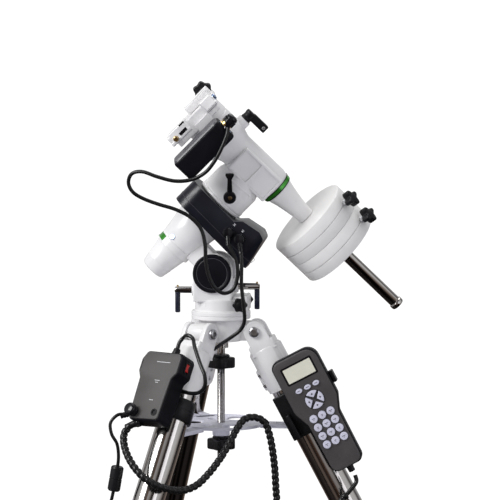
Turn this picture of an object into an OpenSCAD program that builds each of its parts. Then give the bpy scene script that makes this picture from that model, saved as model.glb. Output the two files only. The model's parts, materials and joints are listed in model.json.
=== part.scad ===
// Computerised German equatorial mount on a tube tripod.
// Millimetres, +Z up. The origin is on the floor, at the middle of the footprint.
// The azimuth axis stands at X = axis_x. North, where the polar axis points, is +X.

/* [Tripod] */
// Tilt of each leg from vertical, degrees
leg_tilt = 28; // [26:0.5:30]
// Diameter of the upper leg tube
leg_d = 44.5; // [40:0.5:50]
// Height of the tripod hub's top face
hub_top = 710; // [700:1:740]
// Radius of the circle of leg hinges
hinge_r = 52; // [50:1:56]
// Height of the tray plate's top face
tray_z = 549; // [545:1:552]

/* [Head] */
// Latitude that the polar axis is set to, degrees
latitude = 45; // [40:1:50]
// Turn of the head about the polar axis from home, degrees
ra_turn = 15; // [10:1:20]
// Distance between the latitude axis and the polar axis
ra_offset = 69; // [68:0.5:72]
// Place of the declination axis along the polar axis
dec_s = 152; // [151:0.5:156]

/* [Counterweights] */
// Diameter of each counterweight
weight_d = 130; // [100:1:134]
// Thickness of each counterweight
weight_h = 36; // [30:1:36]
// Diameter of the counterweight bar
bar_d = 18; // [16:0.5:18]
// Place of the bar's free end along the declination axis
bar_end = 309; // [305:1:320]

/* [Electronics] */
// Width of the control box
box_w = 72; // [60:1:72]
// Length of the control box
box_l = 108; // [106:1:110]
// Length of the handset
handset_l = 185; // [180:1:190]

/* [Hidden] */

$fn = 96;
// Small lengths: running gap on a radius, gap between flat faces of moving pieces, overrun of a cut
run = 0.08;
gap = 0.3;
over = 1;

// Tripod
LEGS = [0, -120, 120];
foot_ball = 16;
hinge_z = hub_top - 24;
tube_r = leg_d / 2;
lower_r = tube_r - 3.35;
foot_s = (hinge_z - foot_ball) / cos(leg_tilt);
foot_r = hinge_r + (hinge_z - foot_ball) * tan(leg_tilt);
axis_x = -foot_r / 4;
hinge_bore = 5;
tongue_w = 27;
cheek_w = 7.8;
socket_r = tube_r + 3.75;
tube_top = 30;
tube_end = 690;
collar_end = 700;
rod_r = 6;
rod_low = hub_top - 218;
hub_knob_z = hub_top - 80;
peg_x = 33;

// Latitude axis, and the bolts that push on the lug under it
lat_x = -9;
lat_z = hub_top + 63.5;
south_z = hub_top + 36;
north_z = hub_top + 42;
lug_half = 7;
lug_gap = 1.8;
ear_r = 29;
ear_in = 18.3;
ear_out = 34;
axle_r = 6;

// Polar axis stations, measured from the foot of the latitude axis
shaft_r = 12;
cover_s = 39.5;
upper_s = 78.6;
dec_seat_s = 117;
wheel_s = 50;
wheel_h = 12;
wheel_r = 30;
worm_r = 6;

// Declination axis stations, positive towards the counterweights
dec_top = -73;
dec_ring = 46;
cone_t = dec_ring + 4 + gap;
cone_end = 110;
inner_t = cone_end + gap;
outer_t = inner_t + weight_h + gap;
neck_end = -112;
saddle_top = -130;
lever_t = -60;
clutch_at = [-3, 0, 99];
jaw_open_y = 22.3;
dec_wheel_t = -70;
dec_wheel_r = 22;
dec_worm_r = 5;
weight_knob_turn = 30;

// Declination motor box: corners in the declination frame
dbox = [[-19, -72, -102], [72, -36, -66]];

// Control box and handset
box_back = -29.5;
box_d = 33;
box_s = 54;
hs_at = [-36, -32, 144.5];
hs_t = 26;
hs_top_w = 72;
hs_low_w = 50;
key_out = 2.5;

// Free cords: points of each route, from the azimuth axis on the floor
cord_r = 2.8;
sleeve_r = 5.5;
lead_r = 2.5;
coil_at = [-170, -190];
coil_r = 30;
coil_w = 16;
coil_h = 13;
DEC_ROUTE = [
  [22, -90, 994], [20, -96, 978], [12, -98, 958], [2, -97, 940], [-12, -94, 924], [-32, -92, 914],
  [-56, -91, 912], [-82, -88, 918], [-104, -84, 925], [-120, -80, 922], [-126, -76, 909],
  [-120, -74, 895], [-104, -72, 885], [-82, -71, 877], [-58, -72, 870], [-36, -74, 859],
  [-20, -76, 842], [-14, -77, 820], [-13, -76, 796], [-9, -74, 774], [0, -72, 756],
  [13, -70, 748], [26, -68, 754], [32, -67, 770], [31, -66, 794], [22, -64, 812], [18, -62, 822]
];
MAIN_ROUTE = [
  [36, -62, 810], [38, -66, 790], [38, -67, 760], [41, -66, 730], [42, -63, 708], [36, -60, 694],
  [24, -58, 684], [10, -50, 674], [-2, -38, 665], [-14, -26, 655], [-32, -22, 642],
  [-52, -32, 628], [-70, -50, 616], [-81, -72, 610], [-79, -92, 610], [-70, -100, 610],
  [-61, -105, 610], [-43, -115, 610], [-30, -124, 609], [-16, -137, 612], [-6, -146, 622],
  [-6, -146, 638], [-14, -136, 654], [-24, -119, 676], [-28, -107, 686], [-37, -101, 690],
  [-44, -94, 685], [-49.3, -95.3, 678], [-51.2, -98.7, 670.7]
];
HANDSET_ROUTE = [
  [-116, -128, 562], [-124, -136, 550], [-120, -152, 532], [-106, -170, 512], [-86, -180, 494],
  [-64, -176, 482], [-40, -158, 474], [-20, -140, 478], [-4, -122, 492], [10, -106, 510],
  [22, -90, 530], [32, -76, 550], [42, -66, 563], [56, -58, 565], [70, -54, 558], [77, -54, 542],
  [82, -56, 520], [86, -58, 490], [88, -60, 460], [91, -60, 420], [95, -60, 370], [100, -60, 320],
  [108, -60, 280], [122, -60, 256], [138, -60, 256], [152, -60, 280], [160, -60, 320],
  [166, -60, 370], [172, -60, 410], [182, -58, 440], [196, -52, 458], [205, -47, 470],
  [203, -45, 480]
];
LEAD_ROUTE = [
  [-123, -126, 577], [-134, -130, 577], [-144, -134, 566], [-142, -137, 550], [-134, -138, 536],
  [-132, -138, 516], [-135, -138, 494], [-140, -138, 466], [-146, -138, 436], [-150, -139, 380],
  [-152, -140, 300], [-152, -140, 200], [-151, -138, 100], [-149, -134, 50], [-145, -127, 22],
  [-136, -118, 7], [-120, -115, 2.6], [-105, -124, 2.6], [-100, -142, 2.6], [-109, -160, 2.6],
  [-124, -171, 2.6], [-136, -178, 2.6]
];

// Tube swept along a route, with its rings square to the path and carried on from ring to ring
function unit(v) = v / norm(v);
function heading(p, i) = unit(p[min(i + 1, len(p) - 1)] - p[max(i - 1, 0)]);
function level(v, t) = unit(v - (v * t) * t);
function first_side(t) = level(abs(t[2]) > 0.9 ? [1, 0, 0] : [0, 0, 1], t);
function sides(p, i = 0, out = []) =
  i == len(p) ? out
  : sides(p, i + 1, concat(out, [i == 0 ? first_side(heading(p, 0)) : level(out[i - 1], heading(p, i))]));
function ring(c, t, a, r, n) = [for (k = [0:n - 1]) c + r * (cos(360 * k / n) * a + sin(360 * k / n) * cross(t, a))];
module cord(p, r, n = 8) {
  a = sides(p);
  rings = [for (i = [0:len(p) - 1]) each ring(p[i], heading(p, i), a[i], r, n)];
  last = (len(p) - 1) * n;
  walls = [for (i = [0:len(p) - 2]) for (k = [0:n - 1])
    [i * n + k, (i + 1) * n + k, (i + 1) * n + (k + 1) % n, i * n + (k + 1) % n]];
  start = [for (k = [0:n - 1]) k];
  end = [for (k = [n - 1:-1:0]) last + k];
  polyhedron(rings, concat([start, end], walls), convexity = 10);
}

// Frames of reference
module at_axis() { translate([axis_x, 0, 0]) children(); }
module at_latitude() { at_axis() translate([lat_x, 0, lat_z]) children(); }
module ra_frame() { at_latitude() rotate([0, 90 - latitude, 0]) translate([-ra_offset, 0, 0]) children(); }
module turned_frame() { ra_frame() rotate([0, 0, ra_turn]) children(); }
module dec_frame() { turned_frame() translate([0, 0, dec_s]) rotate([0, 90, 0]) children(); }
module leg_frame(i) {
  at_axis() rotate([0, 0, LEGS[i]]) translate([hinge_r, 0, hinge_z]) rotate([0, 180 - leg_tilt, 0]) children();
}
module handset_frame() { leg_frame(0) translate(hs_at) rotate([-90, 0, 180]) children(); }

// Shared shapes
module along_x(r, x0, x1) { translate([x0, 0, 0]) rotate([0, 90, 0]) cylinder(r = r, h = x1 - x0); }
module along_y(r, y0, y1) { translate([0, y0, 0]) rotate([-90, 0, 0]) cylinder(r = r, h = y1 - y0); }
module ring_of(r, hole, h) {
  difference() {
    cylinder(r = r, h = h);
    translate([0, 0, -over]) cylinder(r = hole, h = h + 2 * over);
  }
}
module box_between(a, b) { translate(a) cube(b - a); }
module rounded(x0, x1, y0, y1, r) {
  translate([x0 + r, y0]) square([x1 - x0 - 2 * r, y1 - y0]);
  translate([x0, y0 + r]) square([x1 - x0, y1 - y0 - 2 * r]);
  for (x = [x0 + r, x1 - r], y = [y0 + r, y1 - r]) translate([x, y]) circle(r = r);
}
module star_knob(r, h, lobes, hole) {
  difference() {
    union() {
      cylinder(r = 0.72 * r, h = h);
      for (k = [0:lobes - 1]) rotate(360 * k / lobes) translate([0.7 * r, 0, 0]) cylinder(r = 0.3 * r, h = h);
    }
    translate([0, 0, -over]) cylinder(r = hole, h = h + 2 * over);
  }
}

// Tripod
module tripod_hub() {
  color("white") at_axis() difference() {
    union() {
      translate([0, 0, hub_top - 6]) cylinder(r = 44, h = 6);
      translate([0, 0, hub_top - 39]) cylinder(r = 33, h = 34);
      for (a = LEGS) rotate(a) translate([hinge_r, 0, hinge_z]) {
        along_y(14, -tongue_w / 2, tongue_w / 2);
        box_between([25 - hinge_r, -tongue_w / 2, -14], [0, tongue_w / 2, 14]);
      }
    }
    translate([0, 0, hub_top - 50]) cylinder(r = rod_r + run, h = 60);
    for (a = LEGS) rotate(a) translate([hinge_r, 0, hinge_z]) along_y(hinge_bore + run, -20, 20);
  }
}
module hub_fasteners() {
  reach = tongue_w / 2 + cheek_w + 1.3;
  color("silver") at_axis() {
    for (a = LEGS) rotate(a) translate([hinge_r, 0, hinge_z]) {
      along_y(hinge_bore, -reach - 5, reach + 5);
      along_y(8, -reach - 5, -reach);
      along_y(8, reach, reach + 5);
    }
    translate([peg_x, 0, hub_top]) cylinder(r = 4, h = 22);
  }
}
module centre_rod() {
  color("silver") at_axis() {
    translate([0, 0, rod_low]) cylinder(r = rod_r, h = hub_top + 18 - rod_low);
    translate([0, 0, hub_top - 50]) cylinder(r = 11, h = 11);
  }
}
module hub_knob() {
  color("black") at_axis() translate([0, 0, hub_knob_z]) translate([0, 0, -0.5])
    star_knob(21, 20, 4, rod_r + run);
}
module accessory_tray() {
  arm_tip = hinge_r + (hinge_z - tray_z + 4) * tan(leg_tilt) - tube_r / cos(leg_tilt) - gap;
  color("lightsteelblue") at_axis() translate([0, 0, tray_z]) difference() {
    union() {
      translate([0, 0, -4]) cylinder(r = 67, h = 4);
      translate([0, 0, -21]) cylinder(r = 13, h = 20);
      for (a = LEGS) rotate(a) {
        box_between([50, -13, -4], [arm_tip - 2, 13, 0]);
        box_between([arm_tip - 5, -13, -18], [arm_tip - 2, 13, -3]);
      }
    }
    translate([0, 0, -30]) cylinder(r = rod_r + 3 * run, h = 40);
    for (a = [60, 180, 300]) rotate(a) translate([42, 0, -5]) cylinder(r = 15.9, h = 10);
    for (a = LEGS) rotate(a) translate([34, 0, -5]) cylinder(r = 7, h = 10);
  }
}
module tray_knob() {
  color("black") at_axis() translate([0, 0, tray_z - 42]) star_knob(21, 20, 4, rod_r + run);
}
module leg_bracket(i) {
  y0 = tongue_w / 2 + 0.8;
  y1 = y0 + cheek_w;
  color("white") leg_frame(i) difference() {
    union() {
      for (s = [0, 1]) mirror([0, s, 0]) {
        along_y(16, y0, y1);
        box_between([-16, y0, 0], [16, y1, tube_top]);
      }
      box_between([-20, -y1, 18], [20, y1, tube_top + 2]);
      translate([0, 0, tube_top - 2]) cylinder(r = socket_r, h = 64);
    }
    translate([0, 0, tube_top]) cylinder(r = tube_r + 0.05, h = 64);
    along_y(hinge_bore + run, -30, 30);
  }
}
module leg_tube(i) {
  knob_x = tube_r + 4.5;
  leg_frame(i) {
    color("silver") translate([0, 0, tube_top]) ring_of(tube_r, tube_r - 2, tube_end - tube_top);
    color("black") {
      difference() {
        translate([0, 0, tube_end - 35]) cylinder(r = knob_x, h = collar_end - tube_end + 35);
        translate([0, 0, tube_end - 36]) cylinder(r = tube_r + 0.05, h = 36);
        translate([0, 0, tube_end - over]) cylinder(r = lower_r + 0.1, h = 20);
      }
      translate([-knob_x - 10, 0, tube_end - 15]) along_x(4, 0, 11);
      translate([-knob_x - 10, 0, tube_end - 15]) rotate([0, -90, 0]) star_knob(15, 12, 4, 1.5);
    }
  }
}
module leg_lower(i) {
  leg_frame(i) {
    color("gainsboro") translate([0, 0, 380]) ring_of(lower_r, lower_r - 2, 358);
    color("black") {
      translate([0, 0, foot_s]) sphere(r = foot_ball);
      translate([0, 0, 738]) cylinder(r = lower_r, h = 12);
    }
  }
}

// Azimuth base, latitude adjusters
module azimuth_fork() {
  block = [[20, -28, hub_top + 6], [42, 28, hub_top + 29]];
  color("white") difference() {
    union() {
      at_axis() translate([0, 0, hub_top + 0.1]) cylinder(r = 44, h = 6);
      at_axis() translate([0, 0, hub_top + 6]) cylinder(r = 38.5, h = 19);
      at_axis() box_between(block[0], block[1]);
      intersection() {
        at_latitude() for (s = [0, 1]) mirror([0, s, 0]) {
          along_y(ear_r, ear_in, ear_out);
          box_between([-ear_r, ear_in, hub_top + 24 - lat_z], [ear_r, ear_out, 0]);
        }
        at_axis() translate([lat_x, 0, hub_top]) cylinder(r = 44, h = 120);
      }
      at_axis() box_between([-38, -ear_in, hub_top + 24], [-33, ear_in, hub_top + 50]);
      at_axis() box_between([12, -ear_in, hub_top + 24], [20, ear_in, hub_top + 54]);
      at_axis() translate([0, 0, south_z]) along_x(9, -43, -33);
      at_axis() translate([0, 0, north_z]) along_x(9, 12, 26);
    }
    at_axis() translate([0, 0, hub_top - over]) cylinder(r = rod_r + run, h = 20);
    at_axis() box_between([27, -12, hub_top - over], [39, 12, hub_top + 25]);
    at_axis() translate([peg_x, 0, hub_top + 18]) along_y(4 + run, -29, 29);
    at_axis() translate([0, 0, south_z]) along_x(5 + run, -50, -20);
    at_axis() translate([0, 0, north_z]) along_x(5 + run, 0, 30);
    at_latitude() along_y(axle_r + run, -40, 40);
  }
}
module azimuth_knob(side) {
  color("black") at_axis() translate([peg_x, 0, hub_top + 18]) mirror([0, side, 0]) {
    along_y(4, 4 + gap, 36);
    difference() {
      translate([0, 36, 0]) rotate([-90, 0, 0]) star_knob(11, 11, 6, 0.8);
      along_y(3, 44, 50);
    }
  }
}
module latitude_bolt(side) {
  tip = lug_half + lug_gap + side * lat_x;
  out = side > 0 ? 58 : 69;
  at_axis() translate([0, 0, side > 0 ? north_z : south_z]) mirror([side > 0 ? 0 : 1, 0, 0]) {
    color("silver") {
      along_x(2, tip, tip + 6);
      along_x(5, tip + 5, out);
    }
    color("midnightblue") translate([out - 4, 0, -34]) cylinder(r = 4, h = 30);
  }
}
module latitude_axle() {
  at_latitude() {
    color("silver") along_y(axle_r, -ear_out, ear_out);
    for (s = [0, 1]) mirror([0, s, 0]) color("black") translate([0, ear_out, 0]) rotate([-90, 0, 0])
      rotate_extrude() polygon([[0, 0], [28, 0], [28, 3], [26.5, 5], [22, 5], [19, 3.5], [0, 3]]);
  }
}

// Polar axis, fixed half
module ra_housing_lower() {
  color("white") {
    difference() {
      union() {
        ra_frame() rotate_extrude()
          polygon([[0, -16], [27, -16], [36, 39], [36, 39.4], [34, cover_s], [34, 78], [0, 78]]);
        ra_frame() translate([ra_offset, 0, 0]) along_y(16, -18, 18);
        ra_frame() box_between([24, -18, -15], [ra_offset, 18, 22]);
        at_latitude() box_between([-lug_half, -8, south_z - lat_z], [lug_half, 8, 0]);
        at_latitude() translate([0, 0, south_z - lat_z]) along_y(lug_half, -8, 8);
      }
      ra_frame() translate([0, 0, -20]) cylinder(r = shaft_r + run, h = 120);
      ra_frame() translate([0, 0, wheel_s - 2]) cylinder(r = wheel_r + 2, h = wheel_h + 4);
      ra_frame() box_between([28, -22, wheel_s - 2], [40, 22, wheel_s + wheel_h + 2]);
      at_latitude() along_y(axle_r + run, -30, 30);
    }
  }
}
module ra_accent_ring() {
  color("limegreen") ra_frame() difference() {
    union() {
      translate([0, 0, -20]) cylinder(r = 26.8, h = 4);
      translate([0, 0, -32]) cylinder(r = 20, h = 14);
    }
    translate([0, 0, -40]) cylinder(r = 16, h = 40);
  }
}
module polar_cap() {
  color("white") ra_frame() rotate_extrude() polygon([
    [0, -65], [17, -65], [19.5, -62], [26.4, -20 - gap], [20 + run, -20 - gap],
    [20 + run, -34], [16, -60], [0, -60]
  ]);
}
module polar_scope() {
  ra_frame() {
    color("black") translate([0, 0, -54]) ring_of(13, 6, 22);
    color("dimgray") translate([0, 0, -32]) ring_of(8.8, 6, 90);
    color("lightcyan") translate([0, 0, 50]) cylinder(r = 5.9, h = 3);
  }
}
module cover_shape() {
  rounded(-48, 98, -46, 40, 24);
}
module ra_motor_cover() {
  color("#1c1e26") ra_frame() {
    difference() {
      union() {
        translate([0, 0, cover_s + 0.1]) linear_extrude(upper_s - cover_s - 0.6) cover_shape();
        intersection() {
          translate([0, 0, cover_s + 2]) linear_extrude(60) rounded(0, 97, -45.5, 39.5, 20);
          translate([0, 40, 0]) rotate([90, 0, 0]) linear_extrude(90)
            polygon([[50, 50], [38.4, 70], [38.4, 79], [47, 88], [76, 94], [87, 90], [96.5, 46]]);
        }
      }
      translate([0, 0, cover_s - over]) cylinder(r = 34.1, h = 60);
      box_between([28, -22, wheel_s - 2], [43, 22, wheel_s + wheel_h + 2]);
      box_between([46, -36, cover_s + 4], [90, 30, cover_s + 32]);
    }
    box_between([50, -32, cover_s + 3], [86, -4, cover_s + 28]);
    translate([44, -44, 62]) along_y(8, -18, 0);
    translate([62, -44, 67]) along_y(8, -18, 0);
  }
}
module ra_worm() {
  color("goldenrod") ra_frame() translate([wheel_r + worm_r + 0.2, 0, wheel_s + wheel_h / 2])
    along_y(worm_r, -20, 20);
}
module ra_worm_wheel() {
  color("darkkhaki") ra_frame() translate([0, 0, wheel_s]) ring_of(wheel_r, shaft_r + run, wheel_h);
}

// Polar axis, turning half
module ra_housing_upper() {
  color("white") turned_frame() difference() {
    union() {
      rotate_extrude() polygon([
        [0, upper_s + 0.4], [35, upper_s + 0.4], [36.5, upper_s + 2], [36.5, dec_seat_s], [0, dec_seat_s]
      ]);
      translate(clutch_at) along_y(9, -40, -20);
    }
    translate([0, 0, upper_s]) cylinder(r = shaft_r + 0.02, h = 50);
  }
}
module ra_shaft() {
  color("silver") turned_frame() translate([0, 0, -15]) ring_of(shaft_r, 9, dec_seat_s + 15);
}
module ra_clutch_lever() {
  color("black") turned_frame() translate(clutch_at) {
    along_y(9, -48, -40 - gap);
    rotate([0, -45, 0]) {
      box_between([-3.5, -46, 5], [3.5, -41, 32]);
      box_between([-7, -47, 30], [7, -41, 36]);
    }
  }
}

// Declination head
module dec_housing() {
  color("white") dec_frame() difference() {
    union() {
      rotate_extrude() polygon([
        [0, dec_top], [34, dec_top], [34, -58], [27, -40], [27, 36], [24.5, dec_ring], [0, dec_ring]
      ]);
      rotate([0, 90, 0]) cylinder(r1 = 27, r2 = 36.5, h = dec_s - dec_seat_s);
      box_between([-16, -33, -34], [26, 0, 40]);
      translate([0, 0, lever_t]) along_x(10, -41, 0);
      box_between([14, -19, dec_top], [36, 19, -54]);
      box_between([-14, -36, dec_top], [20, -20, dbox[1][2]]);
    }
    translate([0, 0, -80]) cylinder(r = shaft_r + run, h = 140);
    translate([0, 0, dec_wheel_t - 2]) cylinder(r = dec_wheel_r + 2, h = 14);
    box_between([18, -16, dec_wheel_t - 2], [33, 16, dec_wheel_t + 12]);
  }
}
module dec_accent_ring() {
  color("limegreen") dec_frame() translate([0, 0, dec_ring]) ring_of(24, shaft_r + run, 4);
}
module dec_motor_box() {
  a = dbox[0];
  b = dbox[1];
  color("#141418") dec_frame() {
    difference() {
      translate([0, 0, a[2]]) linear_extrude(b[2] - a[2]) rounded(a[0], b[0], a[1], b[1], 8);
      translate([0, 0, a[2] + 3]) linear_extrude(b[2] - a[2] - 6)
        rounded(a[0] + 3, b[0] - 3, a[1] + 3, b[1] - 3, 5);
    }
    translate([34, -52, a[2] + 3]) cylinder(r = 12, h = 24);
    translate([a[0] - 14, -54, -85]) along_x(9, 0, 14);
  }
}
module dec_clutch_lever() {
  color("black") dec_frame() translate([0, 0, lever_t]) {
    along_x(8, -56, -41 - gap);
    box_between([-57, -5, 5], [-45, 5, 33]);
  }
}
module dec_worm() {
  color("goldenrod") dec_frame() translate([dec_wheel_r + dec_worm_r + 0.2, 0, dec_wheel_t + 5])
    along_y(dec_worm_r, -14, 14);
}
module dec_worm_wheel() {
  color("darkkhaki") dec_frame() translate([0, 0, dec_wheel_t]) ring_of(dec_wheel_r, shaft_r + run, 10);
}
module dec_shaft() {
  color("silver") dec_frame() translate([0, 0, -100]) cylinder(r = shaft_r, h = 190);
}
module saddle_neck() {
  color("white") dec_frame() difference() {
    translate([0, 0, neck_end]) cylinder(r = 33.5, h = dec_top - 0.4 - neck_end);
    translate([0, 0, -100]) cylinder(r = shaft_r + 0.02, h = 40);
  }
}
module saddle() {
  color("white") dec_frame() difference() {
    union() {
      box_between([-35, -35, -118], [57, 47, neck_end]);
      rotate([90, 0, 90]) translate([0, 0, -33]) linear_extrude(84)
        polygon([[-35, -118], [-24.5, -118], [-21.5, saddle_top], [-35, saddle_top]]);
      box_between([-33, 40, saddle_top], [14, 47, -117]);
    }
    translate([2, -51, -140]) cylinder(r = 24, h = 40);
    box_between([-13, -40, saddle_top - 1], [17, -20, -125]);
    translate([-23, 0, -124.6]) along_y(4 + run, 36, 50);
  }
}
module saddle_jaw() {
  color("white") dec_frame() rotate([90, 0, 90]) translate([0, 0, -30]) linear_extrude(43)
    polygon([[25.3, -118 - gap], [35, -118 - gap], [35, saddle_top], [jaw_open_y, saddle_top]]);
}
module saddle_knob() {
  dec_frame() translate([-23, 0, -124.6]) {
    color("silver") along_y(4, 35.2, 50);
    color("black") translate([0, 48, 0]) rotate([-90, 0, 0]) star_knob(15, 13, 6, 1);
  }
}
module counterweight_cone() {
  color("white") dec_frame() difference() {
    translate([0, 0, cone_t]) cylinder(r1 = 22.5, r2 = 12, h = cone_end - cone_t);
    translate([0, 0, cone_t - over]) cylinder(r = shaft_r + 0.02, h = 90 - cone_t + over);
    translate([0, 0, 80]) cylinder(r = bar_d / 2 + 0.02, h = 40);
  }
}
module counterweight_bar() {
  color("silver") dec_frame() {
    translate([0, 0, 90]) cylinder(r = bar_d / 2, h = bar_end - 8 - 90);
    translate([0, 0, bar_end - 8]) cylinder(r = bar_d / 2 + 1.5, h = 8);
  }
}
module weight(t) {
  r = weight_d / 2;
  mid = weight_h / 2;
  color("ivory") dec_frame() translate([0, 0, t]) difference() {
    rotate_extrude() polygon([
      [bar_d / 2 + 0.1, 0], [r - 5, 0], [r, 3], [r, mid - 1], [r - 1, mid], [r, mid + 1],
      [r, weight_h - 3], [r - 5, weight_h], [bar_d / 2 + 0.1, weight_h]
    ]);
    translate([0, 0, mid]) rotate(180 + weight_knob_turn) along_x(3 + run, 5, 80);
  }
}
module weight_knob(t) {
  r = weight_d / 2;
  dec_frame() translate([0, 0, t + weight_h / 2]) rotate(180 + weight_knob_turn) {
    color("silver") along_x(3, bar_d / 2 + 0.4, r + 10);
    color("black") translate([r + 8, 0, 0]) rotate([0, 90, 0]) star_knob(11, 14, 4, 1);
  }
}

// Control box on the front leg
module control_box() {
  x0 = box_back - box_d;
  color("dimgray") leg_frame(1) {
    difference() {
      box_between([x0, -box_w / 2, box_s], [box_back, box_w / 2, box_s + box_l]);
      box_between([x0 + 3, 3 - box_w / 2, box_s + 3], [box_back - 3, box_w / 2 - 8, box_s + box_l - 3]);
      box_between([-53, box_w / 2 - 6, 60], [-38, box_w / 2 + over, 82]);
      translate([-46, -20, box_s + box_l - 4]) cylinder(r = 5, h = 6);
    }
    translate([-45, 5, box_s - 12]) cylinder(r = 6, h = 12);
    translate([-46, -20, box_s + box_l]) cylinder(r = 6, h = 8);
  }
}
module power_switch() {
  color("red") leg_frame(1) translate([-45.5, box_w / 2, 71]) box_between([-5, -2, -8.5], [5, 2.2, 8.5]);
}
module control_box_clip() {
  color("#202020") leg_frame(1) difference() {
    union() {
      translate([0, 0, 106]) cylinder(r = tube_r + 4, h = 32);
      box_between([box_back, -16, 106], [-10, 16, 138]);
    }
    translate([0, 0, 100]) cylinder(r = tube_r + 0.05, h = 44);
  }
}

// Handset on the north leg
module hs_outline(inset) {
  top = handset_l / 2 - inset;
  w = hs_top_w / 2 - inset;
  n = hs_low_w / 2 - inset;
  polygon([[-w + 4, top], [w - 4, top], [w, top - 4], [w, 14], [n, -10], [n, 6 - top],
    [n - 6, -top], [6 - n, -top], [-n, 6 - top], [-n, -10], [-w, 14], [-w, top - 4]]);
}
module key_row(grow) {
  for (x = [-13, 1, 15]) translate([x, 40]) circle(r = 5.2 + grow);
  for (x = [-11, 1, 13], y = [-6, -20, -34, -48]) translate([x, y]) circle(r = 5.2 + grow);
  for (a = [0:90:270]) translate([2, 19]) rotate(a + 45) translate([8.6, 0]) circle(r = 5.2 + grow);
}
module handset_shell() {
  handset_frame() {
    color("dimgray") difference() {
      linear_extrude(hs_t) hs_outline(0);
      translate([0, 0, 3]) linear_extrude(hs_t - 7) hs_outline(3);
      translate([0, 0, hs_t - 5]) linear_extrude(10) key_row(0.4);
      translate([0, 0, hs_t - 1.5]) linear_extrude(5) rounded(-24, 26, 52, 80, 2);
    }
    color("ivory") translate([0, 0, hs_t - 1.5]) linear_extrude(1) rounded(-24, 26, 52, 80, 2);
    color("black") translate([0, -handset_l / 2, 13]) rotate([90, 0, 0]) cylinder(r = 5, h = 9);
  }
}
module handset_keypad() {
  color("lavender") handset_frame() {
    translate([0, 0, hs_t - 6 + gap]) linear_extrude(5.7 + key_out - gap) key_row(0);
    translate([0, 0, hs_t - 8.5]) linear_extrude(2.9) rounded(-20, 22, -56, 48, 4);
  }
}
module handset_holder() {
  color("black") leg_frame(0) difference() {
    union() {
      translate([0, 0, 104]) cylinder(r = tube_r + 3.5, h = 34);
      box_between([-50, -32, 100], [22, -25, 170]);
      box_between([-78, -44, 100], [-72.5, -25, 118]);
      box_between([-78, -32, 100], [-48, -28, 118]);
      box_between([8, -48, 130], [14, -25, 168]);
    }
    translate([0, 0, 90]) cylinder(r = tube_r + 0.05, h = 100);
  }
}

// Cords
module dec_cord() { color("black") at_axis() cord(DEC_ROUTE, cord_r); }
module main_cord() { color("black") at_axis() cord(MAIN_ROUTE, cord_r); }
module handset_cord() { color("black") at_axis() cord(HANDSET_ROUTE, sleeve_r, 10); }
module power_lead() { color("black") at_axis() cord(LEAD_ROUTE, lead_r); }
module power_coil() {
  color("black") at_axis() translate([coil_at[0], coil_at[1], 0]) rotate_extrude()
    translate([coil_r, 0]) rounded(-coil_w / 2, coil_w / 2, 0.1, coil_h, 4);
}
module power_plug() {
  color("black") at_axis() translate([coil_at[0] + 36, coil_at[1] - 10, 10.2]) {
    along_x(10, 4, 52);
    along_x(4, 50, 62);
    along_x(4, 0, 5);
  }
}

tripod_hub();
hub_fasteners();
centre_rod();
hub_knob();
accessory_tray();
tray_knob();
leg_bracket(0);  // leg_bracket_north
leg_bracket(1);  // leg_bracket_front
leg_bracket(2);  // leg_bracket_rear
leg_tube(0);  // leg_tube_north
leg_tube(1);  // leg_tube_front
leg_tube(2);  // leg_tube_rear
leg_lower(0);  // leg_lower_north
leg_lower(1);  // leg_lower_front
leg_lower(2);  // leg_lower_rear
azimuth_fork();
azimuth_knob(1);  // azimuth_knob_near
azimuth_knob(0);  // azimuth_knob_far
latitude_bolt(-1);  // latitude_bolt_south
latitude_bolt(1);  // latitude_bolt_north
latitude_axle();
ra_housing_lower();
ra_accent_ring();
polar_cap();
polar_scope();
ra_motor_cover();
ra_worm();
ra_worm_wheel();
ra_housing_upper();
ra_shaft();
ra_clutch_lever();
dec_housing();
dec_accent_ring();
dec_motor_box();
dec_clutch_lever();
dec_worm();
dec_worm_wheel();
dec_shaft();
saddle_neck();
saddle();
saddle_jaw();
saddle_knob();
counterweight_cone();
counterweight_bar();
weight(inner_t);  // weight_inner
weight(outer_t);  // weight_outer
weight_knob(inner_t);  // weight_knob_inner
weight_knob(outer_t);  // weight_knob_outer
control_box();
power_switch();
control_box_clip();
handset_shell();
handset_keypad();
handset_holder();
dec_cord();
main_cord();
handset_cord();
power_lead();
power_coil();
power_plug();
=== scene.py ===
import json
import math

import bmesh
import bpy
from mathutils import Matrix, Vector


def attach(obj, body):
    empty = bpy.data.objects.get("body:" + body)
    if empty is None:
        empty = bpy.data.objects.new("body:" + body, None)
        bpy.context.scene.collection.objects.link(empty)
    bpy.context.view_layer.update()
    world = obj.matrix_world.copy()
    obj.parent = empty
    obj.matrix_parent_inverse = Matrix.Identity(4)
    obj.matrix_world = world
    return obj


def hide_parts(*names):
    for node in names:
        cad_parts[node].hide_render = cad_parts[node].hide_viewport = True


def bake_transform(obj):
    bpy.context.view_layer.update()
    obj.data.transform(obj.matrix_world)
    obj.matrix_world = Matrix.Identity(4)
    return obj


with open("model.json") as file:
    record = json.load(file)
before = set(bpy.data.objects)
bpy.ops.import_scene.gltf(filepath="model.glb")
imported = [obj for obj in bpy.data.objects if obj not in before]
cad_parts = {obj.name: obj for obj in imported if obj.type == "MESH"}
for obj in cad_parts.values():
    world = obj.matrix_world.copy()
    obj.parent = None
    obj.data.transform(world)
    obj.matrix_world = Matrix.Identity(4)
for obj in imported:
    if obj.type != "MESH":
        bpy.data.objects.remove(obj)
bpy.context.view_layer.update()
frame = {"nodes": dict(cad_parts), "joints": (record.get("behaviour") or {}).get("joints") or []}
joints = {j["name"]: j for j in frame["joints"]}
UP = Vector((0, 0, 1))
TAU = 2 * math.pi


# ---- frames: local millimetres to the row frame ----
def spot(name):
    return Vector(joints[name]["pos_m"])


def way(name):
    return Vector(joints[name]["axis"]).normalized()


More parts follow.
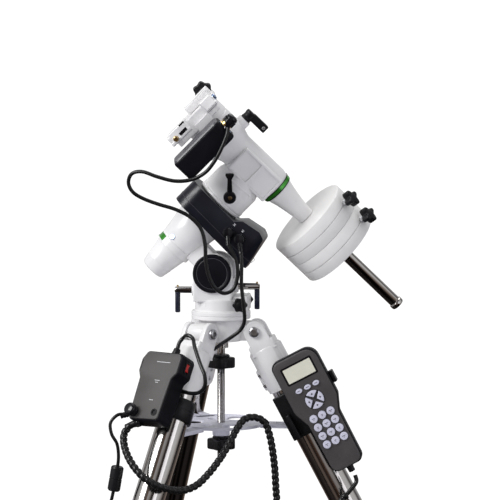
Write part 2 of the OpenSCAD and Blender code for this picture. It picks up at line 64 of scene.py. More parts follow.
def frame_of(origin, x, y, z):
    turn = Matrix((x, y, z)).transposed() * 0.001
    return Matrix.Translation(origin) @ turn.to_4x4()


axis_x = spot("azimuth_turn").x
AXIS = frame_of(Vector((axis_x, 0, 0)), Vector((1, 0, 0)), Vector((0, 1, 0)), UP)
lat = spot("latitude_tilt")
LAT = frame_of(lat, Vector((1, 0, 0)), Vector((0, 1, 0)), UP)
pole = way("ra_slew")
down = Vector((0, 1, 0)).cross(pole)
ra_zero = spot("ra_slew") + pole * (lat - spot("ra_slew")).dot(pole)
RA = frame_of(ra_zero, down, Vector((0, 1, 0)), pole)
dec_way = way("dec_slew")
dec_far = pole.cross(dec_way)
dec_zero = ra_zero + pole * (spot("dec_slew") - ra_zero).dot(pole)
TURN = frame_of(ra_zero, dec_way, dec_far, pole)
DEC = frame_of(dec_zero, -pole, dec_far, dec_way)


def leg_frame(name):
    z, y = way("leg_extend_" + name), way("leg_fold_" + name)
    return frame_of(spot("leg_fold_" + name), y.cross(z), y, z)


LEGS = {n: leg_frame(n) for n in ("north", "front", "rear")}
HAND = LEGS["north"] @ Matrix(((-1, 0, 0, -36), (0, 0, -1, -32), (0, -1, 0, 144.5), (0, 0, 0, 1)))


def shift(x, y, z):
    return Matrix.Translation((x, y, z))


def spin(degrees, axis):
    return Matrix.Rotation(math.radians(degrees), 4, axis)


ALONG_X = Matrix(((0, 0, 1, 0), (1, 0, 0, 0), (0, 1, 0, 0), (0, 0, 0, 1)))
ALONG_Y = Matrix(((1, 0, 0, 0), (0, 0, 1, 0), (0, -1, 0, 0), (0, 0, 0, 1)))
NEAR_Y = ALONG_Y @ spin(180, "X")
FACE_Y = Matrix(((1, 0, 0, 0), (0, 0, -1, 0), (0, 1, 0, 0), (0, 0, 0, 1)))
SWAP_YZ = Matrix(((1, 0, 0, 0), (0, 0, 1, 0), (0, 1, 0, 0), (0, 0, 0, 1)))


# ---- shapes, in local millimetres ----
def lathe(points, n=96, closed=False):
    bm = bmesh.new()
    rings = []
    for r, z in points:
        if r < 1e-6:
            rings.append([bm.verts.new((0, 0, z))])
        else:
            rings.append([bm.verts.new((r * math.cos(TAU * k / n), r * math.sin(TAU * k / n),
                z))
                          for k in range(n)])
    pairs = list(zip(rings, rings[1:])) + ([(rings[-1], rings[0])] if closed else [])
    for a, b in pairs:
        for k in range(n):
            j = (k + 1) % n
            face = [a[k % len(a)], a[j % len(a)], b[j % len(b)], b[k % len(b)]]
            face = [v for i, v in enumerate(face) if v not in face[:i]]
            if len(face) > 2:
                bm.faces.new(face)
    if not closed:
        for ring in (rings[0], rings[-1]):
            if len(ring) > 1:
                bm.faces.new(ring)
    bmesh.ops.recalc_face_normals(bm, faces=bm.faces)
    return bm


def prism(outline, z0, z1):
    bm = bmesh.new()
    low = [bm.verts.new((x, y, z0)) for x, y in outline]
    high = [bm.verts.new((x, y, z1)) for x, y in outline]
    bm.faces.new(low)
    bm.faces.new(high)
    n = len(outline)
    for k in range(n):
        bm.faces.new((low[k], low[(k + 1) % n], high[(k + 1) % n], high[k]))
    bmesh.ops.recalc_face_normals(bm, faces=bm.faces)
    return bm


def block(a, b):
    return prism([(a[0], a[1]), (b[0], a[1]), (b[0], b[1]), (a[0], b[1])], a[2], b[2])


def drum(r, z0, z1, n=32):
    return lathe([(0, z0), (r, z0), (r, z1), (0, z1)], n)


def pipe(r0, r1, z0, z1, n=96):
    return lathe([(r0, z0), (r1, z0), (r1, z1), (r0, z1)], n, True)


def brick(a, b, width, segments=3, angle=32):
    return bevel(block(a, b), width, segments, angle)


def round_corners(corners, radii, steps=6):
    n, out = len(corners), []
    radii = radii if isinstance(radii, (list, tuple)) else [radii] * n
    for i, r in enumerate(radii):
        c = Vector(corners[i])
        before, after = Vector(corners[i - 1]) - c, Vector(corners[(i + 1) % n]) - c
        half = before.angle(after) / 2
        if r < 0.01 or half > 1.55:
            out.append(tuple(c))
            continue
        run = min(r / math.tan(half), 0.49 * before.length, 0.49 * after.length)
        r = run * math.tan(half)
        a, b = c + before.normalized() * run, c + after.normalized() * run
        centre = c + (before.normalized() + after.normalized()).normalized() * (r / math.sin(half))
        start, end = a - centre, b - centre
        sweep_angle = start.angle_signed(end)
        for k in range(steps + 1):
            turn = -sweep_angle * k / steps
            x, y = start
            out.append((centre.x + x * math.cos(turn) - y * math.sin(turn),
                        centre.y + x * math.sin(turn) + y * math.cos(turn)))
    return out


def rect(x0, y0, x1, y1, r=0.0, steps=6):
    return round_corners([(x0, y0), (x1, y0), (x1, y1), (x0, y1)], r, steps)


def lobed(r, lobes, depth, n=96):
    return [(r * (1 - depth + depth * math.cos(lobes * TAU * k / n)) * math.cos(TAU * k / n),
             r * (1 - depth + depth * math.cos(lobes * TAU * k / n)) * math.sin(TAU * k / n)) for k in range(n)]


def bevel(bm, width, segments=3, angle=32):
    edges = [e for e in bm.edges if len(e.link_faces) == 2 and e.calc_face_angle(0) > math.radians(angle)]
    if edges:
        bmesh.ops.bevel(bm, geom=edges, offset=width, segments=segments, profile=0.5, affect="EDGES",
                        clamp_overlap=True)
    return bm


def moved(bm, matrix):
    bmesh.ops.transform(bm, matrix=matrix, verts=bm.verts)
    return bm


def merge(*parts):
    out = bmesh.new()
    for bm in parts:
        me = bpy.data.meshes.new("part")
        bm.to_mesh(me)
        bm.free()
        out.from_mesh(me)
        bpy.data.meshes.remove(me)
    return out


def combine(base, others, operation):
    made = []
    for bm in [base] + list(others):
        me = bpy.data.meshes.new("part")
        bmesh.ops.recalc_face_normals(bm, faces=bm.faces)
        bm.to_mesh(me)
        bm.free()
        ob = bpy.data.objects.new("part", me)
        bpy.context.scene.collection.objects.link(ob)
        made.append(ob)
    for ob in made[1:]:
        mod = made[0].modifiers.new("part", "BOOLEAN")
        mod.operation = operation
        mod.solver = "EXACT"
        mod.object = ob
    view = bpy.context.evaluated_depsgraph_get()
    done = made[0].evaluated_get(view)
    out = bmesh.new()
    out.from_mesh(done.to_mesh())
    done.to_mesh_clear()
    for ob in made:
        me = ob.data
        bpy.data.objects.remove(ob)
        bpy.data.meshes.remove(me)
    bmesh.ops.remove_doubles(out, verts=out.verts, dist=0.001)
    return out


def cut(base, *others):
    return combine(base, others, "DIFFERENCE")


def join(base, *others):
    return combine(base, others, "UNION")


def smooth_path(points, steps=6):
    p = [Vector(q) for q in points]
    out = []
    for i in range(len(p) - 1):
        a, b, c, d = p[max(i - 1, 0)], p[i], p[i + 1], p[min(i + 2, len(p) - 1)]
        for k in range(steps):
            t = k / steps
            out.append(0.5 * (2 * b + (c - a) * t + (2 * a - 5 * b + 4 * c - d) * t * t
                              + (3 * b - a - 3 * c + d) * t ** 3))
    return out + [p[-1]]


def evenly(points, step):
    walked = [0.0]
    for a, b in zip(points, points[1:]):
        walked.append(walked[-1] + (b - a).length)
    n = max(2, round(walked[-1] / step))
    out, i = [], 0
    for k in range(n + 1):
        d = walked[-1] * k / n
        while i < len(points) - 2 and walked[i + 1] < d:
            i += 1
        share = (d - walked[i]) / max(walked[i + 1] - walked[i], 1e-9)
        out.append(points[i].lerp(points[i + 1], min(max(share, 0), 1)))
    return out


def tube(path, radius, n=14, closed=False):
    """radius is a number, or a function of the place along the path and the angle round it."""
    bm = bmesh.new()
    rings, side, gone = [], None, 0.0
    count = len(path)
    for i, p in enumerate(path):
        before = path[i - 1] if (i or closed) else p
        after = path[(i + 1) % count] if (i < count - 1 or closed) else p
        t = (after - before).normalized()
        if side is None:
            side = (UP if abs(t.z) < 0.9 else Vector((1, 0, 0)))
        else:
            gone += (p - path[i - 1]).length
        side = (side - t * side.dot(t)).normalized()
        other = t.cross(side)
        ring = []
        for k in range(n):
            a = TAU * k / n
            r = radius(gone, a) if callable(radius) else radius
            ring.append(bm.verts.new(p + r * (math.cos(a) * side + math.sin(a) * other)))
        rings.append(ring)
    pairs = list(zip(rings, rings[1:])) + ([(rings[-1], rings[0])] if closed else [])
    for a, b in pairs:
        for k in range(n):
            bm.faces.new((a[k], a[(k + 1) % n], b[(k + 1) % n], b[k]))
    if not closed:
        bm.faces.new(rings[0])
        bm.faces.new(rings[-1])
    bmesh.ops.recalc_face_normals(bm, faces=bm.faces)
    return bm


def make(name, bm, at, mat, smooth=40):
    bmesh.ops.recalc_face_normals(bm, faces=bm.faces)
    me = bpy.data.meshes.new(name)
    bm.to_mesh(me)
    bm.free()
    me.transform(at)
    me.update()
    me.materials.append(mat)
    for p in me.polygons:
        p.use_smooth = True
    me.set_sharp_from_angle(angle=math.radians(smooth))
    ob = bpy.data.objects.new(name, me)
    bpy.context.scene.collection.objects.link(ob)
    return ob


def put(name, bm, at, body, mat, replaces=(), smooth=40):
    ob = make(name, bm, at, MATS[mat], smooth)
    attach(ob, body)
    if replaces:
        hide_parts(*([replaces] if isinstance(replaces, str) else replaces))
    return ob


# ---- materials ----
def node_in(tree, kind, values=(), **sources):
    """Adds a shader node, sets its inputs from values and links the others by name."""
    node = tree.nodes.new("ShaderNode" + kind)
    for key, value in dict(values).items():
        node.inputs[key].default_value = value
    for key, source in sources.items():
        tree.links.new(source, node.inputs[key])
    return node


def finish_of(name, color, rough, metal=0.0, spread=0.06, patch=25.0, rough_spread=0.08, grain=900.0,
              bump=0.12, coat=0.0, stretch=None, cells=False, shine=0.5):
    mat = bpy.data.materials.new(name)
    mat.use_nodes = True
    tree = mat.node_tree
    shader = tree.nodes["Principled BSDF"]
    for key, value in (("Metallic", metal), ("Coat Weight", coat), ("Specular IOR Level", shine),
                       ("Coat Roughness", 0.08)):
        shader.inputs[key].default_value = value
    source = node_in(tree, "TexCoord").outputs["Object"]
    if stretch:
        source = node_in(tree, "Mapping", {"Scale": stretch}, Vector=source).outputs["Vector"]
    wide = node_in(tree, "TexNoise", {"Scale": patch, "Detail": 5}, Vector=source).outputs["Fac"]
    ramp = node_in(tree, "ValToRGB", Fac=wide)
    low, high = ramp.color_ramp.elements
    low.position, high.position = 0.3, 0.72
    low.color = (*[c * (1 - spread) for c in color], 1)
    high.color = (*[min(c * (1 + spread), 1) for c in color], 1)
    fine = node_in(tree, "TexVoronoi", {"Scale": grain}, Vector=source).outputs["Distance"] if cells else \
        node_in(tree, "TexNoise", {"Scale": grain, "Detail": 3}, Vector=source).outputs["Fac"]
    level = node_in(tree, "MapRange", {"To Min": max(rough - rough_spread, 0.03),
                                       "To Max": min(rough + rough_spread, 1)}, Value=wide)
    relief = node_in(tree, "Bump", {"Strength": bump, "Distance": 0.0002}, Height=fine)
    for output, key in ((ramp.outputs["Color"], "Base Color"), (level.outputs["Result"], "Roughness"),
                        (relief.outputs["Normal"], "Normal")):
        tree.links.new(output, shader.inputs[key])
    return mat


MATS = {
    "white": finish_of("paint_white", (0.84, 0.832, 0.835), 0.3, coat=0.3, spread=0.025, grain=700, bump=0.08),
    "weight": finish_of("paint_weight", (0.83, 0.82, 0.81), 0.34, coat=0.25, spread=0.03, grain=600, bump=0.12),
    "green": finish_of("ring_green", (0.05, 0.36, 0.03), 0.26, metal=0.6, spread=0.3, patch=60, coat=0.6,
        bump=0.05),
    "black": finish_of("plastic_black", (0.008, 0.008, 0.01), 0.36, spread=0.3, grain=1400, bump=0.2,
        cells=True, shine=0.3),
    "matt": finish_of("plastic_matt", (0.007, 0.007, 0.01), 0.4, spread=0.3, grain=1600, bump=0.25, cells=True,
        shine=0.12),
    "plate": finish_of("plastic_plate", (0.07, 0.07, 0.08), 0.34, spread=0.2, grain=1500, bump=0.2, cells=True),
    "gloss": finish_of("plastic_gloss", (0.006, 0.006, 0.008), 0.16, spread=0.3, coat=0.3, bump=0.05,
        shine=0.3),
    "cover": finish_of("cover_black", (0.008, 0.009, 0.016), 0.3, spread=0.3, grain=1300, bump=0.12, coat=0.05,
                       cells=True, shine=0.4),
    "rubber": finish_of("rubber_black", (0.007, 0.007, 0.008), 0.3, spread=0.3, grain=900, bump=0.1,
        shine=0.45),
    "grip": finish_of("grip_navy", (0.01, 0.014, 0.036), 0.36, spread=0.3, grain=900, bump=0.1),
    "steel": finish_of("steel_polished", (0.66, 0.64, 0.62), 0.13, metal=1, spread=0.1, patch=30,
        rough_spread=0.05,
                       grain=420, bump=0.05, stretch=(1, 1, 0.06)),
    "chrome": finish_of("chrome", (0.66, 0.64, 0.62), 0.09, metal=1, spread=0.06, bump=0.004,
        rough_spread=0.02),
    "zinc": finish_of("zinc", (0.62, 0.63, 0.66), 0.3, metal=1, spread=0.12, patch=90, bump=0.1),
    "blue": finish_of("anodised_blue", (0.32, 0.42, 0.62), 0.25, metal=1, spread=0.12, patch=90, bump=0.05),
    "tray": finish_of("tray_paint", (0.62, 0.62, 0.71), 0.42, spread=0.05, grain=1100, bump=0.3, cells=True),
    "box": finish_of("box_grey", (0.062, 0.058, 0.056), 0.55, spread=0.18, grain=1000, bump=0.6, cells=True),
    "handset": finish_of("handset_grey", (0.06, 0.055, 0.056), 0.5, spread=0.16, grain=1200, bump=0.4,
        cells=True),
    "keys": finish_of("keys_lavender", (0.6, 0.6, 0.72), 0.45, spread=0.06, grain=1200, bump=0.2),
    "mark": finish_of("mark_dark", (0.05, 0.05, 0.06), 0.5, spread=0.2),
    "pale": finish_of("mark_pale", (0.72, 0.73, 0.76), 0.5, spread=0.05),
    "icon": finish_of("mark_blue", (0.4, 0.6, 0.85), 0.45, spread=0.05),
    "window": finish_of("window_cream", (0.72, 0.71, 0.6), 0.3, spread=0.04, coat=0.8, bump=0.02),
    "red": finish_of("rocker_red", (0.5, 0.012, 0.01), 0.3, spread=0.15, coat=0.4, bump=0.08),
    "brass": finish_of("brass", (0.72, 0.52, 0.24), 0.24, metal=1, spread=0.15, patch=120, bump=0.06),
    "bronze": finish_of("bronze", (0.36, 0.25, 0.14), 0.34, metal=1, spread=0.15, patch=80, bump=0.1),
    "glass": finish_of("lens", (0.2, 0.24, 0.3), 0.06, spread=0.1, coat=1.0, bump=0.0),
}

# ---- camera, light and floor ----
scene = bpy.context.scene
scene.view_settings.view_transform = "Standard"
cam = bpy.data.objects.new("camera", bpy.data.cameras.new("camera"))
scene.collection.objects.link(cam)
scene.camera = cam
turn, rise, reach = math.radians(6), math.radians(4.5), 3.0
back = Vector((math.sin(turn) * math.cos(rise), -math.cos(turn) * math.cos(rise), math.sin(rise)))
side = Vector((math.cos(turn), math.sin(turn), 0))
above = back.cross(side)
hub_top = Vector((axis_x, 0, 0.71))
cam.location = hub_top + side * 0.0432 + above * 0.0954 + back * reach
cam.rotation_mode = "QUATERNION"
cam.rotation_quaternion = (-back).to_track_quat("-Z", "Y")
cam.data.lens = 36 * reach / 0.745
cam.data.clip_end = 50


def lamp(name, place, aim, size, power, color=(1, 1, 1)):
    data = bpy.data.lights.new(name, "AREA")
    data.shape = "RECTANGLE"
    data.size, data.size_y = size
    data.energy = power
    data.color = color
    ob = bpy.data.objects.new(name, data)
    scene.collection.objects.link(ob)
    ob.location = place
    ob.rotation_mode = "QUATERNION"
    ob.rotation_quaternion = (Vector(aim) - Vector(place)).to_track_quat("-Z", "Y")
    return ob


lamp("key_light", (-2.0, -1.5, 2.2), (0, 0, 0.8), (1.3, 1.3), 57)
lamp("fill_light", (1.9, -1.7, 1.2), (0, 0, 0.7), (1.0, 1.8), 7, (0.93, 0.94, 1))
lamp("top_light", (0.2, 0.6, 2.6), (0, 0, 0.8), (1.6, 1.2), 16)

world = bpy.data.worlds.new("studio")
scene.world = world
world.use_nodes = True
wn, wl = world.node_tree.nodes, world.node_tree.links
sky = wn["Background"]
sky.inputs["Strength"].default_value = 0.52
heading = wn.new("ShaderNodeTexCoord")
axes = wn.new("ShaderNodeSeparateXYZ")
wl.new(heading.outputs["Generated"], axes.inputs["Vector"])


def ramp_of(source, stops):
    node = wn.new("ShaderNodeValToRGB")
    bar = node.color_ramp
    while len(bar.elements) < len(stops):
        bar.elements.new(0.5)
    for element, (place, color) in zip(bar.elements, stops):
        element.position = place
        element.color = (*color, 1)
    wl.new(source, node.inputs["Fac"])
    return node


fade = ramp_of(axes.outputs["Z"], [(0.0, (0.82, 0.83, 0.93)), (0.3, (1, 1, 1))])
round_about = wn.new("ShaderNodeTexGradient")
round_about.gradient_type = "RADIAL"
wl.new(heading.outputs["Generated"], round_about.inputs["Vector"])
bands = ramp_of(round_about.outputs["Fac"], [
    (0.0, (1, 1, 1)), (0.06, (1.3, 1.3, 1.3)), (0.15, (1.2, 1.2, 1.2)), (0.185, (0.05, 0.045, 0.05)), (0.235,
        (0.24, 0.15, 0.1)),
    (0.255, (0.75, 0.75, 0.78)), (0.3, (0.5, 0.46, 0.44)), (0.325, (0.02, 0.018, 0.02)), (0.4, (0.13, 0.08,
        0.055)),
    (0.43, (1.1, 1.1, 1.12)), (0.52, (1, 1, 1)), (0.57, (0.12, 0.1, 0.1)), (0.62, (0.4, 0.4, 0.42)), (0.7, (1,
        1, 1)),
    (0.89, (0.9, 0.9, 0.92)), (0.93, (0.2, 0.16, 0.14)), (0.97, (0.8, 0.8, 0.82))])
low_side = wn.new("ShaderNodeMapRange")
low_side.inputs["From Min"].default_value = -1
wl.new(axes.outputs["Z"], low_side.inputs["Value"])
under = ramp_of(low_side.outputs["Result"], [(0.0, (0.03, 0.026, 0.026)), (0.22, (0.04, 0.032, 0.03)), (0.34,
    (0.36, 0.27, 0.22)),
                                             (0.44, (0.6, 0.56, 0.54)), (0.5, (1, 1, 1))])
darker = wn.new("ShaderNodeMix")
darker.data_type = "RGBA"
darker.blend_type = "MULTIPLY"
darker.inputs["Factor"].default_value = 1
wl.new(bands.outputs["Color"], darker.inputs["A"])
wl.new(under.outputs["Color"], darker.inputs["B"])
shiny = wn.new("ShaderNodeMix")
shiny.data_type = "RGBA"
ray = wn.new("ShaderNodeLightPath")
wl.new(ray.outputs["Is Glossy Ray"], shiny.inputs["Factor"])
wl.new(fade.outputs["Color"], shiny.inputs["A"])
wl.new(darker.outputs["Result"], shiny.inputs["B"])
wl.new(shiny.outputs["Result"], sky.inputs["Color"])
glow = wn.new("ShaderNodeBackground")
glow.inputs["Color"].default_value = (1, 1, 1, 1)
glow.inputs["Strength"].default_value = 1.1
both = wn.new("ShaderNodeMixShader")
wl.new(ray.outputs["Is Camera Ray"], both.inputs["Fac"])
wl.new(sky.outputs["Background"], both.inputs[1])
wl.new(glow.outputs["Background"], both.inputs[2])
wl.new(both.outputs["Shader"], wn["World Output"].inputs["Surface"])

floor_mat = bpy.data.materials.new("floor_pale")
floor_mat.use_nodes = True
fn, fl = floor_mat.node_tree.nodes, floor_mat.node_tree.links
fn["Principled BSDF"].inputs["Base Color"].default_value = (0.82, 0.82, 0.83, 1)
fn["Principled BSDF"].inputs["Roughness"].default_value = 0.9
spread = fn.new("ShaderNodeTexCoord")
reach_of = fn.new("ShaderNodeVectorMath")
reach_of.operation = "LENGTH"
fl.new(spread.outputs["Object"], reach_of.inputs[0])
edge = fn.new("ShaderNodeMapRange")
edge.inputs["From Min"].default_value = 0.75
edge.inputs["From Max"].default_value = 1.5
fl.new(reach_of.outputs["Value"], edge.inputs["Value"])
clear = fn.new("ShaderNodeBsdfTransparent")
mix = fn.new("ShaderNodeMixShader")
fl.new(edge.outputs["Result"], mix.inputs["Fac"])
fl.new(fn["Principled BSDF"].outputs["BSDF"], mix.inputs[1])
fl.new(clear.outputs["BSDF"], mix.inputs[2])
fl.new(mix.outputs["Shader"], fn["Material Output"].inputs["Surface"])
floor = make("floor", prism([(1600 * math.cos(TAU * k / 64), 1600 * math.sin(TAU * k / 64)) for k in range(64)],
                            -10, -0.1), Matrix.Diagonal((0.001, 0.001, 0.001, 1)), floor_mat)
floor.visible_glossy = False

# ---- cords ----
DEC_ROUTE = [
    (22, -90, 994), (20, -96, 978), (12, -98, 958), (2, -97, 940), (-12, -94, 924), (-32, -92, 914),
    (-56, -91, 912), (-82, -88, 918), (-104, -84, 925), (-120, -80, 922), (-126, -76, 909),
    (-120, -74, 895), (-104, -72, 885), (-82, -71, 877), (-58, -72, 870), (-36, -74, 859),
    (-20, -76, 842), (-14, -77, 820), (-13, -76, 796), (-9, -74, 774), (0, -72, 756),
    (13, -70, 748), (26, -68, 754), (32, -67, 770), (31, -66, 794), (22, -64, 812), (18, -62, 822)]
MAIN_ROUTE = [
    (36, -62, 810), (38, -66, 790), (38, -67, 760), (41, -66, 730), (42, -63, 708), (36, -60, 694),
    (24, -58, 684), (10, -50, 674), (-2, -38, 665), (-14, -26, 655), (-32, -22, 642),
    (-52, -32, 628), (-70, -50, 616), (-81, -72, 610), (-79, -92, 610), (-70, -100, 610),
    (-61, -105, 610), (-43, -115, 610), (-30, -124, 609), (-16, -137, 612), (-6, -146, 622),
    (-6, -146, 638), (-14, -136, 654), (-24, -119, 676), (-28, -107, 686), (-37, -101, 690),
    (-44, -94, 685), (-49.3, -95.3, 678), (-51.2, -98.7, 670.7)]
HANDSET_ROUTE = [
    (-116, -128, 562), (-124, -136, 550), (-120, -152, 532), (-106, -170, 512), (-86, -180, 494),
    (-64, -176, 482), (-40, -158, 474), (-20, -140, 478), (-4, -122, 492), (10, -106, 510),
    (22, -90, 530), (32, -76, 550), (42, -66, 563), (56, -58, 565), (70, -54, 558), (77, -54, 542),
    (82, -56, 520), (86, -58, 490), (88, -60, 460), (91, -60, 420), (95, -60, 370), (100, -60, 320),
    (108, -60, 280), (122, -60, 256), (138, -60, 256), (152, -60, 280), (160, -60, 320),
    (166, -60, 370), (172, -60, 410), (182, -58, 440), (196, -52, 458), (205, -47, 470),
    (203, -45, 480)]
LEAD_ROUTE = [
    (-123, -126, 577), (-134, -130, 577), (-144, -134, 566), (-142, -137, 550), (-134, -138, 536),
    (-132, -138, 516), (-135, -138, 494), (-140, -138, 466), (-146, -138, 436), (-150, -139, 380),
    (-152, -140, 300), (-152, -140, 200), (-151, -138, 100), (-149, -134, 50), (-145, -127, 22),
    (-136, -118, 7), (-120, -115, 2.6), (-105, -124, 2.6), (-100, -142, 2.6), (-109, -160, 2.6),
    (-124, -171, 2.6), (-136, -178, 2.6)]


def run_of(points, step):
    return evenly([AXIS @ q for q in smooth_path(points)], step * 0.001)


def cord(name, path, radius, bodies, node=None, n=14):
    """bodies: one it rides on, or two it runs between, from its start to its end; with two it stays fixed where
    it is, attached to neither.
    """
    ob = make(name, tube(path, radius, n), Matrix.Identity(4), MATS["rubber"], 60)
    if len(bodies) == 1:
        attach(ob, bodies[0])
    else:
        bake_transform(ob)
    if node:
        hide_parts(node)
    return ob


def spiral(gone, angle):
    turn = (gone / 0.0085 - angle / TAU) % 1
    return 0.0043 + 0.0012 * min(1, max(0, math.sin(math.pi * min(turn / 0.78, 1)) * 2.2))


dec_path = run_of(DEC_ROUTE, 3)
cord("dec_cord_tube", dec_path, 0.0028, ("ra", "latitude"), "dec_cord")
main_path = run_of(MAIN_ROUTE, 3)


def split(path, *places):
    ends = [0] + [min(range(len(path)), key=lambda i: (path[i] - AXIS @ Vector(q)).length) for q in places]
    ends.append(len(path) - 1)
    return [path[a:b + 1] for a, b in zip(ends, ends[1:])]


top, middle, low = split(main_path, MAIN_ROUTE[4], MAIN_ROUTE[9])
cord("main_cord_top", top, 0.0028, ("latitude", "azimuth"), "main_cord")
cord("main_cord_middle", middle, 0.0028, ("azimuth", "root"))
cord("main_cord_low", low, 0.0028, ("root", "leg_front"))
hand_path = run_of(HANDSET_ROUTE, 1.4)
near, far = split(hand_path, HANDSET_ROUTE[14])
cord("handset_cord_near", near, spiral, ("leg_front", "root"), "handset_cord", n=18)
bare = sum((b - a).length for a, b in zip(far, far[1:])) - 0.034


def sleeve_end(gone, angle):
    return spiral(gone, angle) if gone < bare else 0.0031


cord("handset_cord_far", far, sleeve_end, ("root", "leg_north"), n=18)
lead_path = run_of(LEAD_ROUTE, 3)
drop, lie = split(lead_path, LEAD_ROUTE[12])
coil_at = Vector((-170, -190, 0))
coil = []
for k in range(0, 300):
    a = math.radians(8) - TAU * k / 54
    lap = k / 54
    r = 36.2 - 5.3 * lap if lap < 2.5 else 22.95 + 5.3 * max(lap - 2.9, 0)
    lift = min(max((lap - 2.4) / 0.5, 0), 1)
    coil.append(coil_at + Vector((r * math.cos(a), r * math.sin(a), 2.6 + 5.4 * lift * lift * (3 - 2 * lift))))
coil += [coil_at + Vector(q) for q in ((40, 4, 9), (41, -6, 9.6), (38, -10, 10.2))][1:]
coil_path = evenly([AXIS @ q for q in smooth_path([(-109, -160, 2.6), (-124, -171,
    2.6)] + [tuple(q) for q in coil], 2)], 3e-3)


def along(path, place):
    i = min(range(1, len(path) - 1), key=lambda i: (path[i] - AXIS @ Vector(place)).length)
    z = (path[i + 1] - path[i - 1]).normalized()
    x = (Vector((0, 1, 0)).cross(z)).normalized()
    return frame_of(path[i], x, z.cross(x), z)


bead = put("lead_ferrite", lathe([(2.6, -18), (7.6, -18), (9, -16.4), (9.2, -15), (9.2, -1), (8.7, -0.5), (8.7,
    0.5),
                                  (9.2, 1), (9.2, 15), (9, 16.4), (7.6, 18), (2.6, 18)], 40, True),
           along(drop, (-135, -138, 487)), "root", "black")
cord("power_lead_drop", drop, 0.0025, ("leg_front", "root"), "power_lead", n=10)

# ---- power plug ----
PLUG = AXIS @ shift(-134, -200, 10.2) @ ALONG_X
plug = put("power_plug_body", merge(
    bevel(lathe([(0, 0), (3.4, 0), (4.6, 1), (5, 10), (9.2, 15), (10, 18), (10, 27), (9.5, 27.6), (9.5, 29),
        (10, 29.6),
                 (10, 40), (9, 41), (9, 50), (8, 52), (0, 52)], 48), 0.3, 2),
    *[moved(brick((-1.5, 9.2, 30), (1.5, 10.9, 46), 0.4, 2), spin(a, "Z")) for a in (90, 270)]),
    PLUG, "root", "black", "power_plug")
tip = put("power_plug_tip", lathe([(0, 52), (5, 52), (5, 54), (4, 55), (4, 59), (3, 61), (0, 62)], 32), PLUG,
    "root", "brass")
cord("power_lead_floor", lie[:-1] + coil_path[3:], 0.0025, ("root",), "power_coil", n=10)


# ---- shared details ----
def screw(r, h, socket=0.5):
    """A domed head with a hexagonal socket, standing on z 0."""
    head = lathe([(0, -1), (r, -1), (r, 0.55 * h), (0.88 * r, 0.85 * h), (0.6 * r, h), (0, h)], 32)
    hole = prism([(socket * r * math.cos(TAU * k / 6), socket * r * math.sin(TAU * k / 6)) for k in range(6)],
                 0.45 * h, h + 2)
    return cut(head, hole)


def knob(r, h, lobes, depth=0.11):
    """A lobed hand knob from z 0 to h."""
    body = bevel(prism(lobed(r, lobes, depth), 0, h), min(0.16 * h, 2.4), 3, 50)
    return merge(body, lathe([(0, h - 1), (0.42 * r, h - 1), (0.42 * r, h + 0.25), (0.38 * r, h + 0.5), (0,
        h + 0.5)], 32))


def ribbed(r, z0, z1, ribs=24, deep=0.5, n=144):
    """A round part with ribs along it."""
    out = [((r - deep + deep * max(-0.4, math.cos(ribs * TAU * k / n)))) for k in range(n)]
    return bevel(prism([(out[k] * math.cos(TAU * k / n), out[k] * math.sin(TAU * k / n)) for k in range(n)],
        z0, z1),
                 0.5, 2, 60)


def aim(start, goal):
    """A frame at start whose z points at goal."""
    z = (goal - start).normalized()
    x = (Vector((0, 1, 0)) if abs(z.y) < 0.8 else Vector((1, 0, 0))).cross(z).normalized()
    return frame_of(start, x, z.cross(x), z)


def tail(r0, r1, length, ribs=5):
    """A cord's tapering sleeve with grooves, from z 0 to length."""
    out = [(0, 0), (r0, 0)]
    for k in range(ribs):
        z = length * (0.3 + 0.6 * k / ribs)
        r = r0 + (r1 - r0) * z / length
        out += [(r, z), (r, z + 0.06 * length), (r - 0.7, z + 0.065 * length), (r - 0.7, z + 0.1 * length)]
    return lathe(out + [(r1, 0.92 * length), (r1, length), (0, length)], 32)


# ---- tripod head ----
hub = lathe([(6.2, 671), (31, 671), (33, 673), (33, 702), (34.5, 703.4), (43, 704), (44, 705), (44, 709),
    (43.2, 709.9),
             (6.2, 709.9)], 120, True)
for a in (0, -120, 120):
    arm = round_corners([(20, -14), (66, -14), (66, 14), (20, 14)], [0, 13.9, 13.9, 0], 10)
    arm = moved(bevel(prism(arm, -13.5, 13.5), 1.2, 3, 50), ALONG_Y)
    hub = join(hub, moved(arm, spin(a, "Z") @ shift(0, 0, 686)))
put("hub_casting", hub, AXIS, "root", "white", "tripod_hub")
bolts = []
for a in (0, -120, 120):
    for s in (1, -1):
        bolts.append(moved(screw(8, 5), spin(a, "Z") @ shift(52, s * 22.7,
            686) @ ALONG_Y @ spin(0 if s > 0 else 180, "X")))
bolts.append(moved(lathe([(0, 0), (4, 0), (4, 20), (3, 22), (0, 22)], 24), shift(33, 0, 710)))
put("hub_bolts", merge(*bolts), AXIS, "root", "zinc", "hub_fasteners")
thread = [(0, 492), (5, 492)]
for k in range(78):
    thread += [(6, 493 + 2 * k), (5.5, 494 + 2 * k)]
thread += [(6, 650), (6, 660), (11, 660), (11, 671), (6, 671), (6, 728), (0, 728)]
put("centre_screw", lathe(thread, 32), AXIS, "root", "steel", "centre_rod")
for name, z, body, node in (("hub_star", 629.5, "hub_knob", "hub_knob"), ("tray_star", 507, "tray_knob",
    "tray_knob")):
    star = cut(bevel(prism(lobed(21, 4, 0.12), 0, 16), 2.6, 4, 50), drum(6.3, -1, 30, 32))
    nose = lathe([(6.3, 14), (13, 14), (13, 18.4), (11.6, 20), (6.3, 20)], 40, True)
    put(name, merge(star, nose), AXIS @ shift(0, 0, z), body, "black", node)

